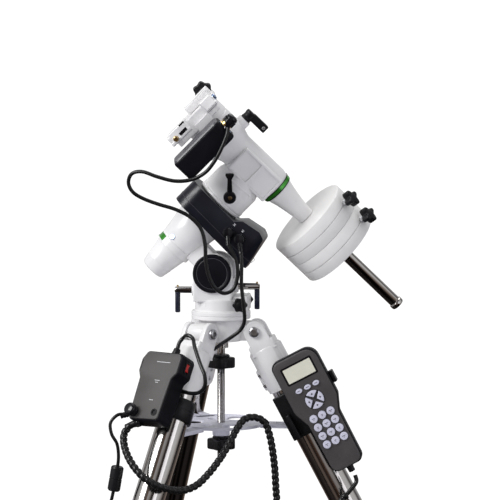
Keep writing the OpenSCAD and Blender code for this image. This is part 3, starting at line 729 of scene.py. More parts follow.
# ---- accessory tray ----
plate = lathe([(6.3, 545.2), (64, 545.2), (64, 545), (67, 545), (67, 549), (64.5, 549), (64.2, 547.6), (6.3,
    547.6)], 128, True)
arms = []
for a in (0, -120, 120):
    tip_x = 132.5
    shape = round_corners([(56, -15), (tip_x, -13), (tip_x, 13), (56, 15)], [0, 4, 4, 0], 4)
    web = merge(prism(shape, 545.2, 547.6))
    ribs = [brick((60, s - 1.2, 541.5), (tip_x - 1, s + 1.2, 546), 0.5, 2) for s in (-12, 12)]
    pad = brick((tip_x - 3, -13, 531), (tip_x, 13, 546), 0.8, 2)
    arms += [moved(m, spin(a, "Z")) for m in [web] + ribs + [pad]]
holes = []
for a in (60, 180, 300):
    holes.append(moved(drum(15.9, 530, 560, 64), spin(a, "Z") @ shift(42, 0, 0)))
for a in (0, -120, 120):
    holes.append(moved(drum(7, 530, 560, 40), spin(a, "Z") @ shift(34, 0, 0)))
    holes.append(moved(prism(round_corners([(82, -5), (112, -5), (112, 5), (82, 5)], 4.9, 5), 530, 560),
        spin(a, "Z")))
tray = bevel(cut(join(plate, *arms), *holes), 0.35, 2, 40)
hub_part = lathe([(6.3, 528), (12, 528), (13, 529), (13, 546), (6.3, 546)], 48, True)
put("tray_plate", merge(tray, hub_part), AXIS, "tray", "tray", "accessory_tray", 35)

# ---- legs ----
for name, at in LEGS.items():
    body, low = "leg_" + name, "lower_" + name
    cheek = round_corners([(-16, -16), (30, -16), (32, -20), (34, -20), (34, 20), (32, 20), (30, 16), (-16,
        16)],
                          [15.9, 0, 0, 0, 0, 0, 0, 15.9], 10)
    parts = []
    for s in (1, -1):
        side_plate = bevel(prism([(z, x) for z, x in cheek], 14.3, 22.1), 1.4, 3, 50)
        place = Matrix(((0, 1, 0, 0), (0, 0, s, 0), (1, 0, 0, 0), (0, 0, 0, 1)))
        parts.append(moved(side_plate, place))
    crown = brick((-20, -22, 18), (20, 22, 32), 2.2, 3)
    socket = lathe([(0, 28), (24, 28), (26, 31), (26, 88), (25.4, 90.5), (25.4, 94), (22.4, 94), (0, 94)], 96)
    ears = brick((20, -8, 54), (28.4, 8, 87), 2.4, 3)
    shell = join(parts[0], parts[1], crown, socket, ears)
    shell = cut(shell, drum(22.3, 36, 99, 96), block((18, -1.1, 48), (40, 1.1, 99)),
                block((-12.6, -14.2, 10), (16, 14.2, 22)))
    put("bracket_" + name, shell, at, body, "white", "leg_bracket_" + name, 35)
    pinch = merge(*[moved(screw(3.6, 2.6), shift(24.6, s * 8, z) @ ALONG_Y @ spin(0 if s > 0 else 180, "X"))
                    for z in (62, 79) for s in (1, -1)])
    put("pinch_screws_" + name, pinch, at, body, "zinc")
    put("tube_" + name, pipe(20.4, 22.25, 37, 689.5, 96), at, body, "steel",
        "leg_tube_" + name)
    collar = lathe([(22.3, 655), (25.6, 655), (26.6, 656.5), (26.6, 664), (25.9, 664.8), (25.9, 692), (26.75,
        693),
                    (26.75, 698.5), (25.6, 700), (19.05, 700), (19.05, 690.2), (22.3, 690.2)], 72, True)
    boss = moved(lathe([(0, 0), (9, 0), (8, 11.5), (0, 11.5)], 32), shift(-24, 0, 675) @ spin(-90, "Y"))
    put("collar_" + name, merge(collar, boss), at, body, "black")
    put("leg_lock_" + name, moved(knob(15, 12, 4, 0.13), shift(-36.7, 0, 675) @ spin(-90, "Y")), at, body,
        "black")
    put("lower_tube_" + name, pipe(16.9, 18.9, 380, 740, 80), at, low, "steel",
        "leg_lower_" + name)
    heel = (686 - 16) / math.cos(math.radians(28))
    foot = [(0, 728), (19.6, 728), (20.2, 730), (20.2, 742), (17, 746)]
    foot += [(16 * math.sin(math.radians(a)), heel - 16 * math.cos(math.radians(a))) for a in range(70, 181,
        10)]
    foot[-1] = (0, heel + 16)
    put("foot_" + name, lathe(foot, 56), at, low, "rubber")

# ---- azimuth base and latitude fork ----
base = lathe([(6.2, 710.1), (43.4, 710.1), (44, 710.8), (44, 715), (43, 716.2), (39.5, 716.6), (38.5, 718),
    (38.5, 733),
              (37, 735), (6.2, 735)], 128, True)
cheeks = []
for s in (1, -1):
    ear = round_corners([(-29, -42), (29, -42), (29, 29), (-29, 29)], [0, 0, 28.9, 28.9], 14)
    ear = bevel(prism(ear, 18.3, 34), 1.4, 3, 50)
    place = Matrix(((1, 0, 0, 0), (0, 0, s, 0), (0, 1, 0, 0), (0, 0, 0, 1)))
    cheeks.append(moved(moved(ear, place), shift(-9, 0, 773.5)))
trim = drum(43.5, 700, 830, 128)
pair = combine(merge(*cheeks), [moved(trim, shift(-9, 0, 0))], "INTERSECT")
screw_block = brick((20, -28, 716), (42, 28, 739), 2.2, 3)
back_wall = brick((-38, -19, 733), (-32.5, 19, 760), 1, 2)
front_wall = brick((12, -19, 733), (20, 19, 764), 1, 2)
nose_s = moved(bevel(drum(9, -43, -33, 40), 0.8, 2, 50), shift(0, 0, 746) @ ALONG_X)
nose_n = moved(bevel(drum(9, 12, 26, 40), 0.8, 2, 50), shift(0, 0, 752) @ ALONG_X)
fork = join(base, pair, screw_block, back_wall, front_wall, nose_s, nose_n)
fork = cut(fork, block((27, -12, 700), (39, 12, 735)),
           moved(drum(4.1, -60, 60, 32), shift(33, 0, 728) @ ALONG_Y),
           moved(drum(5.1, -60, -20, 32), shift(0, 0, 746) @ ALONG_X),
           moved(drum(5.1, 0, 40, 32), shift(0, 0, 752) @ ALONG_X),
           moved(drum(6.1, -50, 50, 32), shift(-9, 0, 773.5) @ ALONG_Y))
put("azimuth_casting", fork, AXIS, "azimuth", "white", "azimuth_fork", 35)
for s, word in ((-1, "near"), (1, "far")):
    at = AXIS @ shift(33, 0, 728) @ (ALONG_Y if s > 0 else NEAR_Y)
    put("azimuth_screw_" + word, lathe([(0, 4.3), (3.4, 4.3), (4, 5), (4, 38), (0, 38)], 24), at,
        "azimuth_knob_" + word, "chrome",
        "azimuth_knob_" + word)
    put("azimuth_star_" + word, moved(knob(11, 10.5, 6, 0.08), shift(0, 0, 36)), at, "azimuth_knob_" + word,
        "black")
for word, s, z, out in (("south", -1, 746, 69), ("north", 1, 752, 58)):
    at = AXIS @ shift(0, 0, z)
    tip_z = 8.8 - 9 * s
    rod = lathe([(0, tip_z), (2, tip_z), (2, tip_z + 5), (5, tip_z + 6), (5, out - 3), (4.2, out), (0, out)],
        40)
    put("latitude_rod_" + word, moved(rod, ALONG_X if s > 0 else spin(180, "Z") @ ALONG_X), at,
        "latitude_bolt_" + word, "chrome",
        "latitude_bolt_" + word)
    grip = merge(ribbed(4, -31, -6, 14, 0.35, 84), lathe([(0, -34), (3, -34), (3.9, -33), (3.9, -30), (0,
        -30)], 32),
                 lathe([(0, -7), (3.9, -7), (3.9, -4.6), (3, -3.6), (0, -3.6)], 32))
    put("latitude_grip_" + word, grip, at @ shift(s * (out - 4), 0, 0), "latitude_bolt_" + word, "grip")
    put("latitude_pin_" + word, lathe([(0, -5), (1.6, -5), (1.6, 6.4), (1, 7), (0, 7)], 20),
        at @ shift(s * (out - 4), 0, 0),
        "latitude_bolt_" + word, "brass")
for s in (1, -1):
    at = LAT @ (ALONG_Y if s > 0 else NEAR_Y)
    disc = lathe([(0, 34), (28.6, 34), (28.6, 37.4), (27.8, 38.8), (26.2, 39.4), (24.2, 39), (23.2, 38), (22.4,
        37.8),
                  (21.6, 38), (20, 38.2), (0, 38.6)], 96)
    put("latitude_disc_" + ("far" if s > 0 else "near"), disc, at, "azimuth", "matt", "latitude_axle")
    rim = lathe([(22.3, 37.2), (23, 37.2), (23, 38.1), (22.6, 38.3), (22.3, 38.1)], 96, True)
    put("latitude_rim_" + ("far" if s > 0 else "near"), rim, at, "azimuth", "plate")

# ---- polar axis, fixed half ----
lower = lathe([(12.1, -16), (26.2, -16), (27, -15), (27.6, -12), (28.2, -11.2), (36, 38.4), (35.6, 39.3),
    (12.1, 39.3)],
              128, True)
rib = brick((24, -17, -14), (56, 17, 21), 3, 3)
knuckle = moved(bevel(drum(16, -17.8, 17.8, 64), 1.5, 3, 50), shift(69, 0, 0) @ ALONG_Y)
web = bevel(prism(round_corners([(26, -14), (69, -15.5), (69, 15.5), (26, 22)], 0), -15, 15), 1.5, 2)
web = moved(web, SWAP_YZ)
body = cut(join(lower, rib, web, knuckle), moved(drum(6.1, -40, 40, 32), shift(69, 0, 0) @ ALONG_Y),
           drum(12.1, -30, 90, 48))
put("ra_lower_casting", body, RA, "latitude", "white", "ra_housing_lower", 35)
sleeve = cut(lathe([(12.1, 39.3), (33.9, 39.3), (33.9, 78), (12.1, 78), (12.1, 64), (32, 64), (32, 48), (12.1,
    48)], 96, True),
             block((28, -22, 48), (40, 22, 64)))
put("ra_lower_sleeve", sleeve, RA, "latitude", "white")
lug = round_corners([(-7, 0), (7, 0), (7, -34.5), (-7, -34.5)], [0, 0, 6.9, 6.9], 8)
lug = moved(bevel(prism(lug, -8, 8), 0.8, 2, 50), ALONG_Y @ Matrix.Diagonal((1, -1, 1, 1)))
put("latitude_lug", lug, LAT, "latitude", "white")
put("polar_band", merge(pipe(16, 26.8, -20, -16.1, 96),
                        pipe(16, 20, -32, -20, 64)), RA, "latitude", "green", "ra_accent_ring")
collar = lathe([(27.3, -21.8), (28.6, -21.8), (29.2, -21.2), (29.2, -10), (28.4, -9.2), (27.3, -9.2)], 96, True)
gone = prism([(0, 0)] + [(60 * math.cos(math.radians(a)), 60 * math.sin(math.radians(a))) for a in (165, 185,
    205, 232)],
             -20.2, -11)
put("polar_collar", cut(collar, gone), RA, "latitude", "white")
put("polar_band_wide", pipe(27, 28.2, -21.4, -9.8, 96), RA, "latitude", "green")
put("polar_band_edge", pipe(26.5, 27.3, -20.2, -19.2, 96), RA, "latitude", "zinc")
lock = moved(lathe([(0, -3), (4.2, -3), (4.2, 1.6), (3.6, 2.4), (2.2, 2.4), (2.0, 1.2), (0, 1.2)], 32),
             shift(-10.5, -26.4, -4.4) @ spin(-22, "Z") @ spin(90, "X"))
put("polar_lock_screw", lock, RA, "latitude", "blue")
cap = lathe([(0, -65), (15.4, -65), (17.6, -64.2), (19, -62.6), (21.6, -49), (21.9, -48.4), (21.7, -47.8),
    (26.0, -22),
             (26.4, -20.6), (20.1, -20.5), (20.1, -34), (16, -60), (0, -60)], 112)
put("polar_cap_shell", cap, RA, "polar_cap", "white", "polar_cap")

# ---- motor cover on the polar axis ----
outline = round_corners([(-48, -46), (98, -46), (98, 40), (-48, 40)], [26, 22, 24, 24], 10)
side = round_corners([(-60, 39.6), (97.9, 39.6), (87, 90), (76, 94), (47, 88), (37.6, 78.1), (-60, 78.1)],
                     [0, 0, 6, 6, 5, 4, 0], 5)
side = moved(prism(side, -60, 60), SWAP_YZ)
cover = bevel(combine(prism(outline, 30, 110), [side], "INTERSECT"), 3.4, 4, 50)
cover = cut(cover, drum(34.2, 30, 100, 96), block((28, -22, 48), (43, 22, 64)))
put("ra_motor_shell", cover, RA, "latitude", "cover", "ra_motor_cover", 40)
seam = [Vector((x * 1.001, y, 52)) for x, y in round_corners([(-48.1, -46.1), (98.1, -46.1), (98.1, 40.1),
    (-48.1, 40.1)],
                                                             [26, 22, 24, 24], 10)]
put("ra_cover_seam", tube(seam, 0.35, 6, True), RA, "latitude", "mark")
for k, (x, z) in enumerate(((44, 62), (62, 67))):
    at = RA @ shift(x, -46, z) @ NEAR_Y
    put("ra_socket_%d" % k, lathe([(0, -1), (7.9, -1), (7.9, 0.8), (7.4, 1.4), (7, 1.4), (7, 3), (0, 3)], 48),
        at,
        "latitude", "zinc")
    head = merge(ribbed(8.9, 2, 7.6, 22, 0.7), lathe([(0, 7), (8.2, 7), (8.2, 14), (7, 16.6), (4, 17.4), (0,
        17.6)], 48))
    put("ra_plug_%d" % k, head, at, "latitude", "gloss")
    base = RA @ Vector((x, -58, z))
    goal = AXIS @ Vector((DEC_ROUTE[-1], MAIN_ROUTE[0])[k])
    put("ra_plug_tail_%d" % k, tail(4.6, 3.4, (goal - base).length * 1000 + 5), aim(base, goal), "latitude",
        "gloss")
for k, (x, z) in enumerate(((42, 79), (57, 81))):
    mark = merge(block((-1.7, -1.7, 0), (1.7, -0.9, 0.25)), block((-1.7, 0.9, 0), (1.7, 1.7, 0.25)),
                 block((-0.5, -1.7, 0), (0.5, 1.7, 0.25)))
    put("ra_icon_%d" % k, mark, RA @ shift(x, -45.85, z - 3) @ spin(90, "X"), "latitude", "pale")

# ---- polar axis, turning half ----
upper = lathe([(12.1, 79), (34.2, 79), (35.6, 80.2), (37.4, 81), (37.4, 84), (36.4, 85), (37.2, 86), (37.2,
    89), (36.5, 90),
               (36.5, 115.8), (35.8, 117), (12.1, 117)], 128, True)
pin = TURN.inverted() @ spot("ra_clutch_turn")
boss = moved(bevel(lathe([(0, 0), (9.6, 0), (9, 20), (0, 20)], 48), 0.8, 2, 50),
             shift(pin.x, -20, pin.z) @ NEAR_Y)
put("ra_upper_casting", join(upper, boss), TURN, "ra", "white", "ra_housing_upper", 35)
at = TURN @ shift(pin.x, -40.3, pin.z) @ spin(-45, "Y")
hub = lathe([(0, 0), (9, 0), (9.4, 1.5), (9.4, 6), (8.4, 7.6), (5, 7.8), (0, 7.8)], 56)
arm = round_corners([(-4, 6), (4, 6), (3.2, 27), (6.4, 33), (6, 36), (-6, 36), (-6.4, 33), (-3.2, 27)],
                    [0, 0, 5, 2, 1.5, 1.5, 2, 5], 5)
arm = bevel(prism(arm, 1, 6.4), 1.3, 3, 50)
put("ra_lever", merge(moved(hub, FACE_Y), moved(arm, FACE_Y)), at, "ra_clutch", "gloss", "ra_clutch_lever")
put("ra_lever_screw", moved(screw(3.1, 2.4), FACE_Y @ shift(0, 0, 8)), at, "ra_clutch", "bronze")

# ---- declination housing ----
trunk = lathe([(12.1, -72.8), (33, -72.8), (34, -71.8), (34, -60), (33, -57.6), (27.6, -41), (27, -38), (27,
    35), (26.4, 37),
               (24.7, 45), (24.2, 46), (12.1, 46)], 128, True)
collar = moved(lathe([(0, 0), (27, 0), (28.5, 6), (35.5, 33.2), (36.5, 34), (36.5, 34.9), (0, 34.9)], 112),
    ALONG_X)
slab = brick((-16, -33, -34), (26, 0, 40), 2.4, 3)
pocket_a = bevel(prism(rect(-12.5, -31, 22.5, 0.5, 1.5), 30.6, 40), 0.8, 2, 50)
pocket_b = bevel(prism(rect(-12.5, 4.5, 22.5, 36, 1.5), 30.6, 40), 0.8, 2, 50)
pin = DEC.inverted() @ spot("dec_clutch_turn")
stub = moved(bevel(drum(10, 0, 41, 48), 1, 2, 50), shift(-41, 0, pin.z) @ ALONG_X)
foot = brick((-14, -36, -72.8), (20, -20, -66), 1.2, 2)
worm_case = brick((10, -19, -72.8), (36, 19, -54), 3.0, 3)
trunk = join(trunk, collar, slab, stub, foot, worm_case)
trunk = cut(trunk, moved(pocket_a, FACE_Y), moved(pocket_b, FACE_Y), drum(12.1, -90, 60, 48),
            drum(24, -72, -58, 64), block((18, -16, -72), (33, 16, -58)))
put("dec_casting", trunk, DEC, "ra", "white", "dec_housing", 35)
put("dec_band", pipe(12.1, 24, 46.1, 49.9, 112), DEC, "ra", "green", "dec_accent_ring")
put("dec_band_wide", lathe([(24, 43.6), (25.6, 43.6), (25.2, 48.8), (24, 48.8)], 112, True), DEC, "ra", "green")
put("dec_band_edge", lathe([(22.5, 48.8), (25.1, 48.8), (24.6, 50.2), (22.5, 50.2)], 112, True), DEC, "ra",
    "gloss")
put("dec_band_lip", lathe([(24, 42.4), (26.1, 42.4), (26.0, 43.6), (24, 43.6)], 112, True), DEC, "ra", "gloss")
at = DEC @ shift(0, 0, pin.z)
stem = moved(merge(lathe([(0, 0), (8, 0), (8, 3), (7.4, 4), (7.4, 9), (8, 10), (8, 13.4), (7, 14.7), (0,
    14.7)], 48)),
             shift(-41.3, 0, 0) @ ALONG_X @ spin(180, "X"))
bar = round_corners([(-57, 2), (-45, 2), (-45, 33), (-57, 33)], [5, 1, 1.5, 1.5], 4)
bar = moved(bevel(prism(bar, -5.5, 5.5), 1.2, 3, 50), ALONG_Y @ Matrix.Diagonal((1, -1, 1, 1)))
put("dec_lever", merge(stem, bar), at, "dec_clutch", "black", "dec_clutch_lever")
put("dec_lever_screw", moved(screw(2.6, 1.6), shift(-51, -5.4, 28) @ NEAR_Y), at, "dec_clutch", "zinc")

# ---- declination motor box ----
case = bevel(prism(rect(-18.8, -71.8, 71.8, -36.2, 8, 8), -100, -66.2), 3.0, 4, 60)
put("dec_motor_case", case, DEC, "ra", "matt", "dec_motor_box", 50)
lid = round_corners([(-17, -70), (70, -70), (70, -38), (-17, -38)], 7, 8)
lid = bevel(prism(lid, -102, -98), 2.6, 1, 60)
put("dec_motor_lid", lid, DEC, "ra", "plate", (), 20)
at = DEC @ shift(-18.6, -54, -85) @ ALONG_X @ spin(180, "X")
put("dec_socket", lathe([(0, -1), (9.8, -1), (9.8, 1), (9, 1.8), (8, 1.8), (8, 3.6), (9, 3.8), (9, 4.6), (0,
    4.6)], 48), at, "ra",
    "brass")
put("dec_plug", merge(ribbed(9.7, 4.4, 13, 24, 0.8), lathe([(0, 12), (8.8, 12), (8.8, 15.6), (7.6, 18), (4.6,
    19.4), (0, 19.6)], 48)),
    at, "ra", "gloss")
base, goal = DEC @ Vector((-28, -57, -85)), AXIS @ Vector(DEC_ROUTE[0])
put("dec_plug_tail", tail(5.2, 3.6, (goal - base).length * 1000 + 6), aim(base, goal), "ra", "gloss")
for k, y in enumerate((-66, -44)):
    put("dec_case_screw_%d" % k, moved(screw(2, 1.2), shift(-18.6, y, -85) @ ALONG_X @ spin(180, "X")), DEC,
        "ra", "zinc")
for k, z in enumerate((-76, -95)):
    ring = tube([Vector((1.6 * math.cos(TAU * i / 20), 1.6 * math.sin(TAU * i / 20), 0.1)) for i in range(20)],
        0.25, 6, True)
    put("dec_icon_%d" % k, ring, DEC @ shift(-18.7, -63, z) @ ALONG_X @ spin(180, "X"), "ra", "icon")

# ---- saddle ----
neck = lathe([(0, -112), (33.5, -112), (33.5, -94), (32.9, -93.2), (32.9, -92.2), (33.5, -91.4), (33.5, -74.4),
    (32.5, -73.4),
              (12.1, -73.4), (12.1, -80), (0, -80)], 120)
put("saddle_neck_casting", neck, DEC, "dec", "white", "saddle_neck", 35)
plate = brick((-35, -35, -118), (57, 47, -112), 1.6, 3)
rail = prism([(-34.5, -115), (-24.96, -115), (-21.5, -130), (-34.5, -130)], -32.4, 50.6)
rail = moved(bevel(rail, 1.0, 2), ALONG_X)
skirt = brick((-31, -34, -116), (49.6, -30.4, -104), 1.2, 3)
far_wall = brick((-32.4, 39.8, -129.8), (13.6, 46.4, -114.6), 1.4, 3)
boss_k = moved(bevel(drum(8.4, 34.8, 47, 40), 0.8, 2, 50), shift(-23, 0, -121) @ ALONG_Y)
end_a = brick((47.4, -32.2, -126.6), (56.4, -14.4, -114.2), 1.4, 3)
end_b = brick((-34.4, -32.6, -125.6), (-29, -10.4, -114.4), 1.2, 3)
body = join(plate, rail, skirt, far_wall, boss_k, end_a, end_b)
scoop = bevel(drum(24, -140, -90, 96), 0.01, 1, 50)
step = brick((-13, -40, -134), (17, -19, -124.6), 2.0, 3)
slot_a = brick((24, -36, -121.6), (38, -32.4, -116.4), 0.8, 2)
slot_b = brick((20, -36, -130.6), (30, -32.6, -127.4), 0.5, 2)
body = cut(body, moved(scoop, shift(2, -51, 0)), step, slot_a, slot_b,
           moved(drum(4.1, 30, 60, 32), shift(-23, 0, -124.6) @ ALONG_Y),
           moved(drum(5, -130, -115, 40), shift(4, 0, 0)))
put("saddle_casting", body, DEC, "dec", "white", "saddle", 50)
# Painted shade: black blocks set nearly flush in the two shallow slots stand in for the shade inside them.
put("saddle_slot_painted_shade", merge(block((24.4, -34.2, -121.2), (37.6, -32.6, -116.8)), block((20.4, -33.8, -130.1),
    (29.6, -32.8, -127.8))),
    DEC, "dec", "gloss")
jaw = prism([(25.5, -118.3), (34.8, -118.3), (34.8, -130), (22.5, -130)], -30, 13)
jaw = moved(bevel(jaw, 1.0, 2), ALONG_X)
gap_slot = brick((-17, 24, -131), (-4, 27, -126.5), 0.4, 2)
put("saddle_clamp", cut(jaw, gap_slot), DEC, "saddle_jaw", "white", "saddle_jaw", 35)
# Painted shade: a black block filling the shallow gap slot in the jaw stands in for the shade inside the gap.
put("saddle_clamp_gap_painted_shade", block((-16.8, 24.4, -129.2), (-4.2, 26.8, -126.7)), DEC, "saddle_jaw", "gloss")
ticks = [block((-32 + 2.2 * k, -35.15, -113.5 - (1.8 if k % 3 == 0 else 0.6)), (-31.4 + 2.2 * k, -34.9,
    -110.8)) for k in range(9)]
put("saddle_scale_marks", merge(*ticks), DEC @ shift(0, 0, -1), "dec", "mark")
at = DEC @ shift(-23, 0, -124.6) @ ALONG_Y
put("saddle_screw", lathe([(0, 35.4), (3.2, 35.4), (4, 36), (4, 48.5), (0, 48.5)], 32), at, "saddle_knob",
    "chrome", "saddle_knob")
put("saddle_star", moved(knob(15, 12, 6, 0.09), shift(0, 0, 48.4)), at, "saddle_knob", "black")
put("saddle_bolt_brass", moved(screw(4.2, 3), shift(46, -35, -119) @ NEAR_Y), DEC, "dec", "brass")
put("saddle_bolt_blue", moved(screw(4.4, 3), shift(-35, -24, -121) @ ALONG_X @ spin(180, "X")), DEC, "dec",
    "blue")

# ---- counterweight bar and weights ----
cone = lathe([(9.1, 50.4), (21.8, 50.4), (22.5, 51.2), (21.6, 54), (18.6, 66), (15.4, 84), (13.6, 98), (13.0,
    106), (13.0, 109), (12.2, 110), (9.1, 110)], 96, True)
put("cone_casting", cone, DEC, "dec", "white", "counterweight_cone", 35)
bar = lathe([(0, 92), (9, 92), (9, 300), (8.4, 300.8), (8.4, 301.2), (9.9, 301.6), (10.5, 302.4), (10.5,
    307.6), (9.6, 309), (0, 309)], 72)
put("bar_rod", bar, DEC, "dec", "chrome", "counterweight_bar")
for word, t in (("inner", 110.3), ("outer", 146.6)):
    first, other = (1.8, 0.6) if word == "inner" else (0.6, 1.8)
    disc = lathe([(9.15, 0.6), (10, 0), (65 - first * 1.2, 0), (65 - 0.4 * first, 0.28 * first), (65, first),
        (65, 17),
                  (63.4, 17.4), (63.4, 18.6), (65, 19), (65, 36 - other), (65 - 0.4 * other, 36 - 0.28 * other),
                  (65 - other * 1.2, 36), (10, 36), (9.15, 35.4)], 160, True)
    drill = moved(drum(3.2, 0, 80, 24), shift(0, 0, 18) @ spin(210, "Z") @ ALONG_X)
    put("weight_disc_" + word, cut(disc, drill), DEC @ shift(0, 0, t), "weight_" + word, "weight",
        "weight_" + word, 35)
    at = DEC @ shift(0, 0, t + 18) @ spin(210, "Z") @ ALONG_X
    put("weight_stem_" + word, merge(drum(3, 9.6, 74, 24),
                                     lathe([(0, 65.4), (5, 65.4), (5, 68.6), (4.4, 69.4), (0, 69.4)], 6)),
        at, "weight_knob_" + word, "zinc", "weight_knob_" + word)
    put("weight_star_" + word, moved(knob(13, 13, 4, 0.2), shift(0, 0, 73)), at, "weight_knob_" + word, "black")

# ---- control box on the front leg ----
FRONT = LEGS["front"]
sides_box = [(-33, 54), (29, 54), (32.5, 60), (32.5, 84), (25, 93), (22, 158), (-32, 160), (-34, 96), (-40,
    85), (-40, 66)]
shape = round_corners(sides_box, [6, 5, 4, 5, 8, 6, 6, 8, 5, 6], 5)
case = bevel(moved(prism(shape, -60.5, -29.6), ALONG_X), 2.4, 4, 60)
face = round_corners([(y * 0.94 - 0.4, 107 + (z - 107) * 0.965) for y, z in sides_box], [5, 4, 3, 4, 7, 5, 5,
    7, 4, 5], 5)
front = bevel(moved(prism(face, -62.4, -59), ALONG_X), 0.9, 2, 60)
case = cut(case, block((-50.5, 29, 63), (-40.5, 40, 79)))
put("control_case", case, FRONT, "leg_front", "matt", "control_box", 50)
groove = brick((-64, -37, 69), (-61.4, -34.6, 83), 0.2, 1)
port = moved(drum(5.4, -64, -60.6, 40), shift(0, 12, 146) @ ALONG_X)
put("control_face", cut(front, groove, port), FRONT, "leg_front", "box")
put("control_port", merge(moved(pipe(3.4, 5.2, -62.9, -61, 40), shift(0, 12, 146) @ ALONG_X),
                          moved(drum(2.6, -61.6, -61, 32), shift(0, 12, 146) @ ALONG_X)),
    FRONT, "leg_front", "gloss")
line = [Vector((-62.35, y * 0.955, 107 + (z - 107) * 0.965)) for y, z in face]
put("control_edge_line", tube(line, 0.28, 6, True), FRONT, "leg_front", "plate")
marks = merge(*[block((-62.6, y0, z0), (-62.2, y1, z0 + 0.7)) for y0, y1, z0 in ((-10, 14, 70), (-4, 5, 98),
    (-2, 3, 101), (-3, 4, 128))])
put("control_marks", marks, FRONT, "leg_front", "pale")
at = FRONT @ shift(-45.5, 36, 71)
put("rocker_frame", cut(brick((-4.8, -5, -8.6), (4.8, -2.4, 8.6), 0.5, 2), block((-3.2, -7, -6.9), (3.2, 3,
    6.9))), at,
    "leg_front", "gloss")
wedge = prism([(-5.5, -5), (5.5, -5), (5.5, -1.4), (0, -2.6), (-5.5, -1.6)], -2.7, 2.7)
wedge = moved(bevel(wedge, 0.35, 2), Matrix(((0, 0, 1, 0), (0, 1, 0, 0), (1, 0, 0, 0), (0, 0, 0, 1))))
put("rocker", wedge, at, "power_switch", "red", "power_switch")
put("box_top_plug", merge(lathe([(0, 42.2), (3.4, 42.2), (4.8, 43), (5.4, 46), (5.4, 48), (6, 48.6), (6, 53.6),
    (0, 53.6)], 40),
                          ribbed(6.3, 49, 53, 20, 0.4, 120)), FRONT @ shift(-45, 5, 0), "leg_front", "black")
for word, route, place in (("hand", HANDSET_ROUTE, (-46, -18, 157)), ("power", LEAD_ROUTE, (-46, -27, 140))):
    base, goal = FRONT @ Vector(place), AXIS @ Vector(route[0])
    put("box_%s_plug" % word, tail(6.4, 3.8, (goal - base).length * 1000 + 8), aim(base, goal), "leg_front",
        "black")
    ring = ribbed(6.8, 3, 9, 20, 0.5, 120)
    put("box_%s_nut" % word, ring, aim(base, goal), "leg_front", "gloss")
face_plug = merge(lathe([(0, -76), (6.4, -76), (8.6, -74.6), (9.2, -73), (9.2, -69), (8.2, -68), (8.2, -61.4),
    (0, -61.4)], 40))
put("box_face_plug", moved(face_plug, shift(0, -24, 148) @ ALONG_X), FRONT, "leg_front", "gloss")
put("box_face_grip", moved(ribbed(9.4, -73, -68.6, 24, 0.7), shift(0, -24, 148) @ ALONG_X), FRONT, "leg_front",
    "black")
strap = merge(lathe([(22.3, 106), (25.4, 106), (26.2, 107), (26.2, 120.6), (25.8, 121), (25.8, 123), (26.2,
    123.4), (26.2, 137), (25.4, 138),
                     (22.3, 138)], 80, True), brick((-29.5, -16, 106), (-22.6, 16, 138), 1, 2))
put("control_strap", strap, FRONT, "leg_front", "black", "control_box_clip")

# ---- handset ----
def hand_outline(inset):
    top, w, n = 92.5 - inset, 36 - inset, 25 - inset
    corners = [(-w, top), (w, top), (w, 12), (n + 1, -12), (n, -top), (-n, -top), (-n - 1, -12), (-w, 12)]
    return round_corners(corners, [12, 18, 14, 14, 11, 11, 14, 14], 8)


lower_shell = bevel(prism(hand_outline(0), 0, 20.5), 3.4, 4, 60)
lip = bevel(prism(hand_outline(0.6), 19.5, 22), 0.5, 2, 60)
put("handset_back", merge(lower_shell, lip), HAND, "leg_north", "matt", "handset_shell", 50)
panel = bevel(prism(hand_outline(1.6), 21, 26), 2.2, 3, 60)
wells = [moved(drum(6.4, 23.2, 30, 32), shift(x, y, 0)) for x in (-13, 1, 15) for y in (-6, -20, -34, -48)]
ovals = []
for x in (-13, 1, 15):
    ovals.append(prism([(x + 5.6 * math.cos(TAU * k / 32),
        40 + 3.9 * math.sin(TAU * k / 32)) for k in range(32)], 23.2, 30))
pad = drum(14.6, 23.2, 30, 56)
glass = bevel(prism(rect(-24, 52, 26, 80, 2, 3), 24.6, 30), 0.1, 1)
panel = cut(panel, *wells, *ovals, moved(pad, shift(2, 19, 0)), glass)
put("handset_panel", panel, HAND, "leg_north", "handset", (), 35)
put("handset_window", bevel(prism(rect(-24, 52, 26, 80, 2, 3), 24.7, 25.5), 0.2, 1), HAND, "leg_north", "gloss")
put("handset_display", prism(rect(-21, 55, 23, 77, 0.8, 2), 25.4, 25.65), HAND, "leg_north", "window")
put("handset_inlet", merge(lathe([(0, 0), (5.6, 0), (5.6, 1.5), (5, 2.2), (5, 8), (4, 9), (0, 9)], 32)),
    HAND @ shift(0, -92.5, 13) @ NEAR_Y, "leg_north", "black")
keys = [bevel(prism(rect(-20, -56, 22, 48, 4), 17.6, 20.4), 0.4, 2)]
for x in (-13, 1, 15):
    for y in (-6, -20, -34, -48):
        keys.append(moved(lathe([(0, 20), (6, 20), (6, 27.4), (5.5, 28.2), (4.4, 28.5), (0, 28.3)], 36),
            shift(x, y, 0)))
for x in (-13, 1, 15):
    keys.append(bevel(prism([(x + 5.2 * math.cos(TAU * k / 36),
        40 + 3.5 * math.sin(TAU * k / 36)) for k in range(36)], 20, 28.2), 0.7, 3, 60))
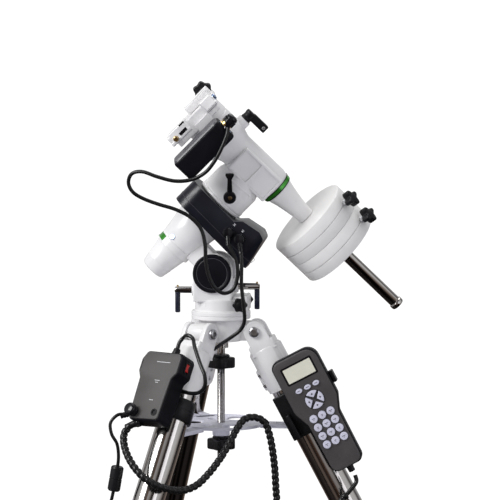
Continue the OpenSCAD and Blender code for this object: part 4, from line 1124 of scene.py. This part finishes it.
for a in (0, 90, 180, 270):
    arc = [(13.8 * math.cos(math.radians(t)), 13.8 * math.sin(math.radians(t))) for t in range(-39, 40, 6)]
    arc = [(2.6 / math.tan(math.radians(45)) + 0.9, 0.0)] + [(x, y) for x, y in arc]
    keys.append(moved(bevel(prism(arc, 20, 28.3), 0.7, 3, 60), shift(2, 19, 0) @ spin(a, "Z")))
put("handset_keys", merge(*keys), HAND, "keypad", "keys", "handset_keypad")
glyphs = []
for i, x in enumerate((-13, 1, 15)):
    for j, y in enumerate((-6, -20, -34, -48)):
        wide = (2.2, 1.4, 2.8)[(i + j) % 3]
        glyphs.append(block((x - wide, y + 0.2, 28.2), (x + wide, y + 0.9, 28.55)))
        glyphs.append(block((x - 0.9, y - 1.6, 28.2), (x + 0.9, y - 1.0, 28.55)))
for x in (-13, 1, 15):
    glyphs.append(block((x - 2.4, 39.7, 28.1), (x + 2.4, 40.4, 28.4)))
for a in (0, 90, 180, 270):
    glyphs.append(moved(prism([(10.6, 0), (8, 1.9), (8, -1.9)], 28.1, 28.5), shift(2, 19, 0) @ spin(a, "Z")))
put("handset_glyphs", merge(*glyphs), HAND, "keypad", "mark")

# ---- handset holder on the north leg ----
NORTH = LEGS["north"]
ring = lathe([(22.3, 104), (25, 104), (25.8, 105), (25.8, 137), (25, 138), (22.3, 138)], 80, True)
rail = brick((-50, -31.8, 100), (22, -25.6, 170), 1.6, 3)
hooks = [brick((-78, -44, 100), (-72.6, -25, 118), 1.2, 3), brick((-78, -31.8, 100), (-48, -28, 118), 1.0, 2),
         brick((8, -48, 130), (14, -25.6, 168), 1.4, 3)]
put("handset_cradle", merge(ring, rail, *hooks), NORTH, "leg_north", "black", "handset_holder")

# ---- inner parts keep their own shape ----
for node, mat in (("ra_worm", "brass"), ("dec_worm", "brass"), ("ra_worm_wheel", "bronze"), ("dec_worm_wheel",
    "bronze"),
                  ("ra_shaft", "steel"), ("dec_shaft", "steel"), ("polar_scope", "black")):
    ob = frame["nodes"][node]
    for i in range(max(1, len(ob.material_slots))):
        if not ob.material_slots:
            ob.data.materials.append(MATS[mat])
        ob.material_slots[i].link = "OBJECT"
        ob.material_slots[i].material = MATS[mat]
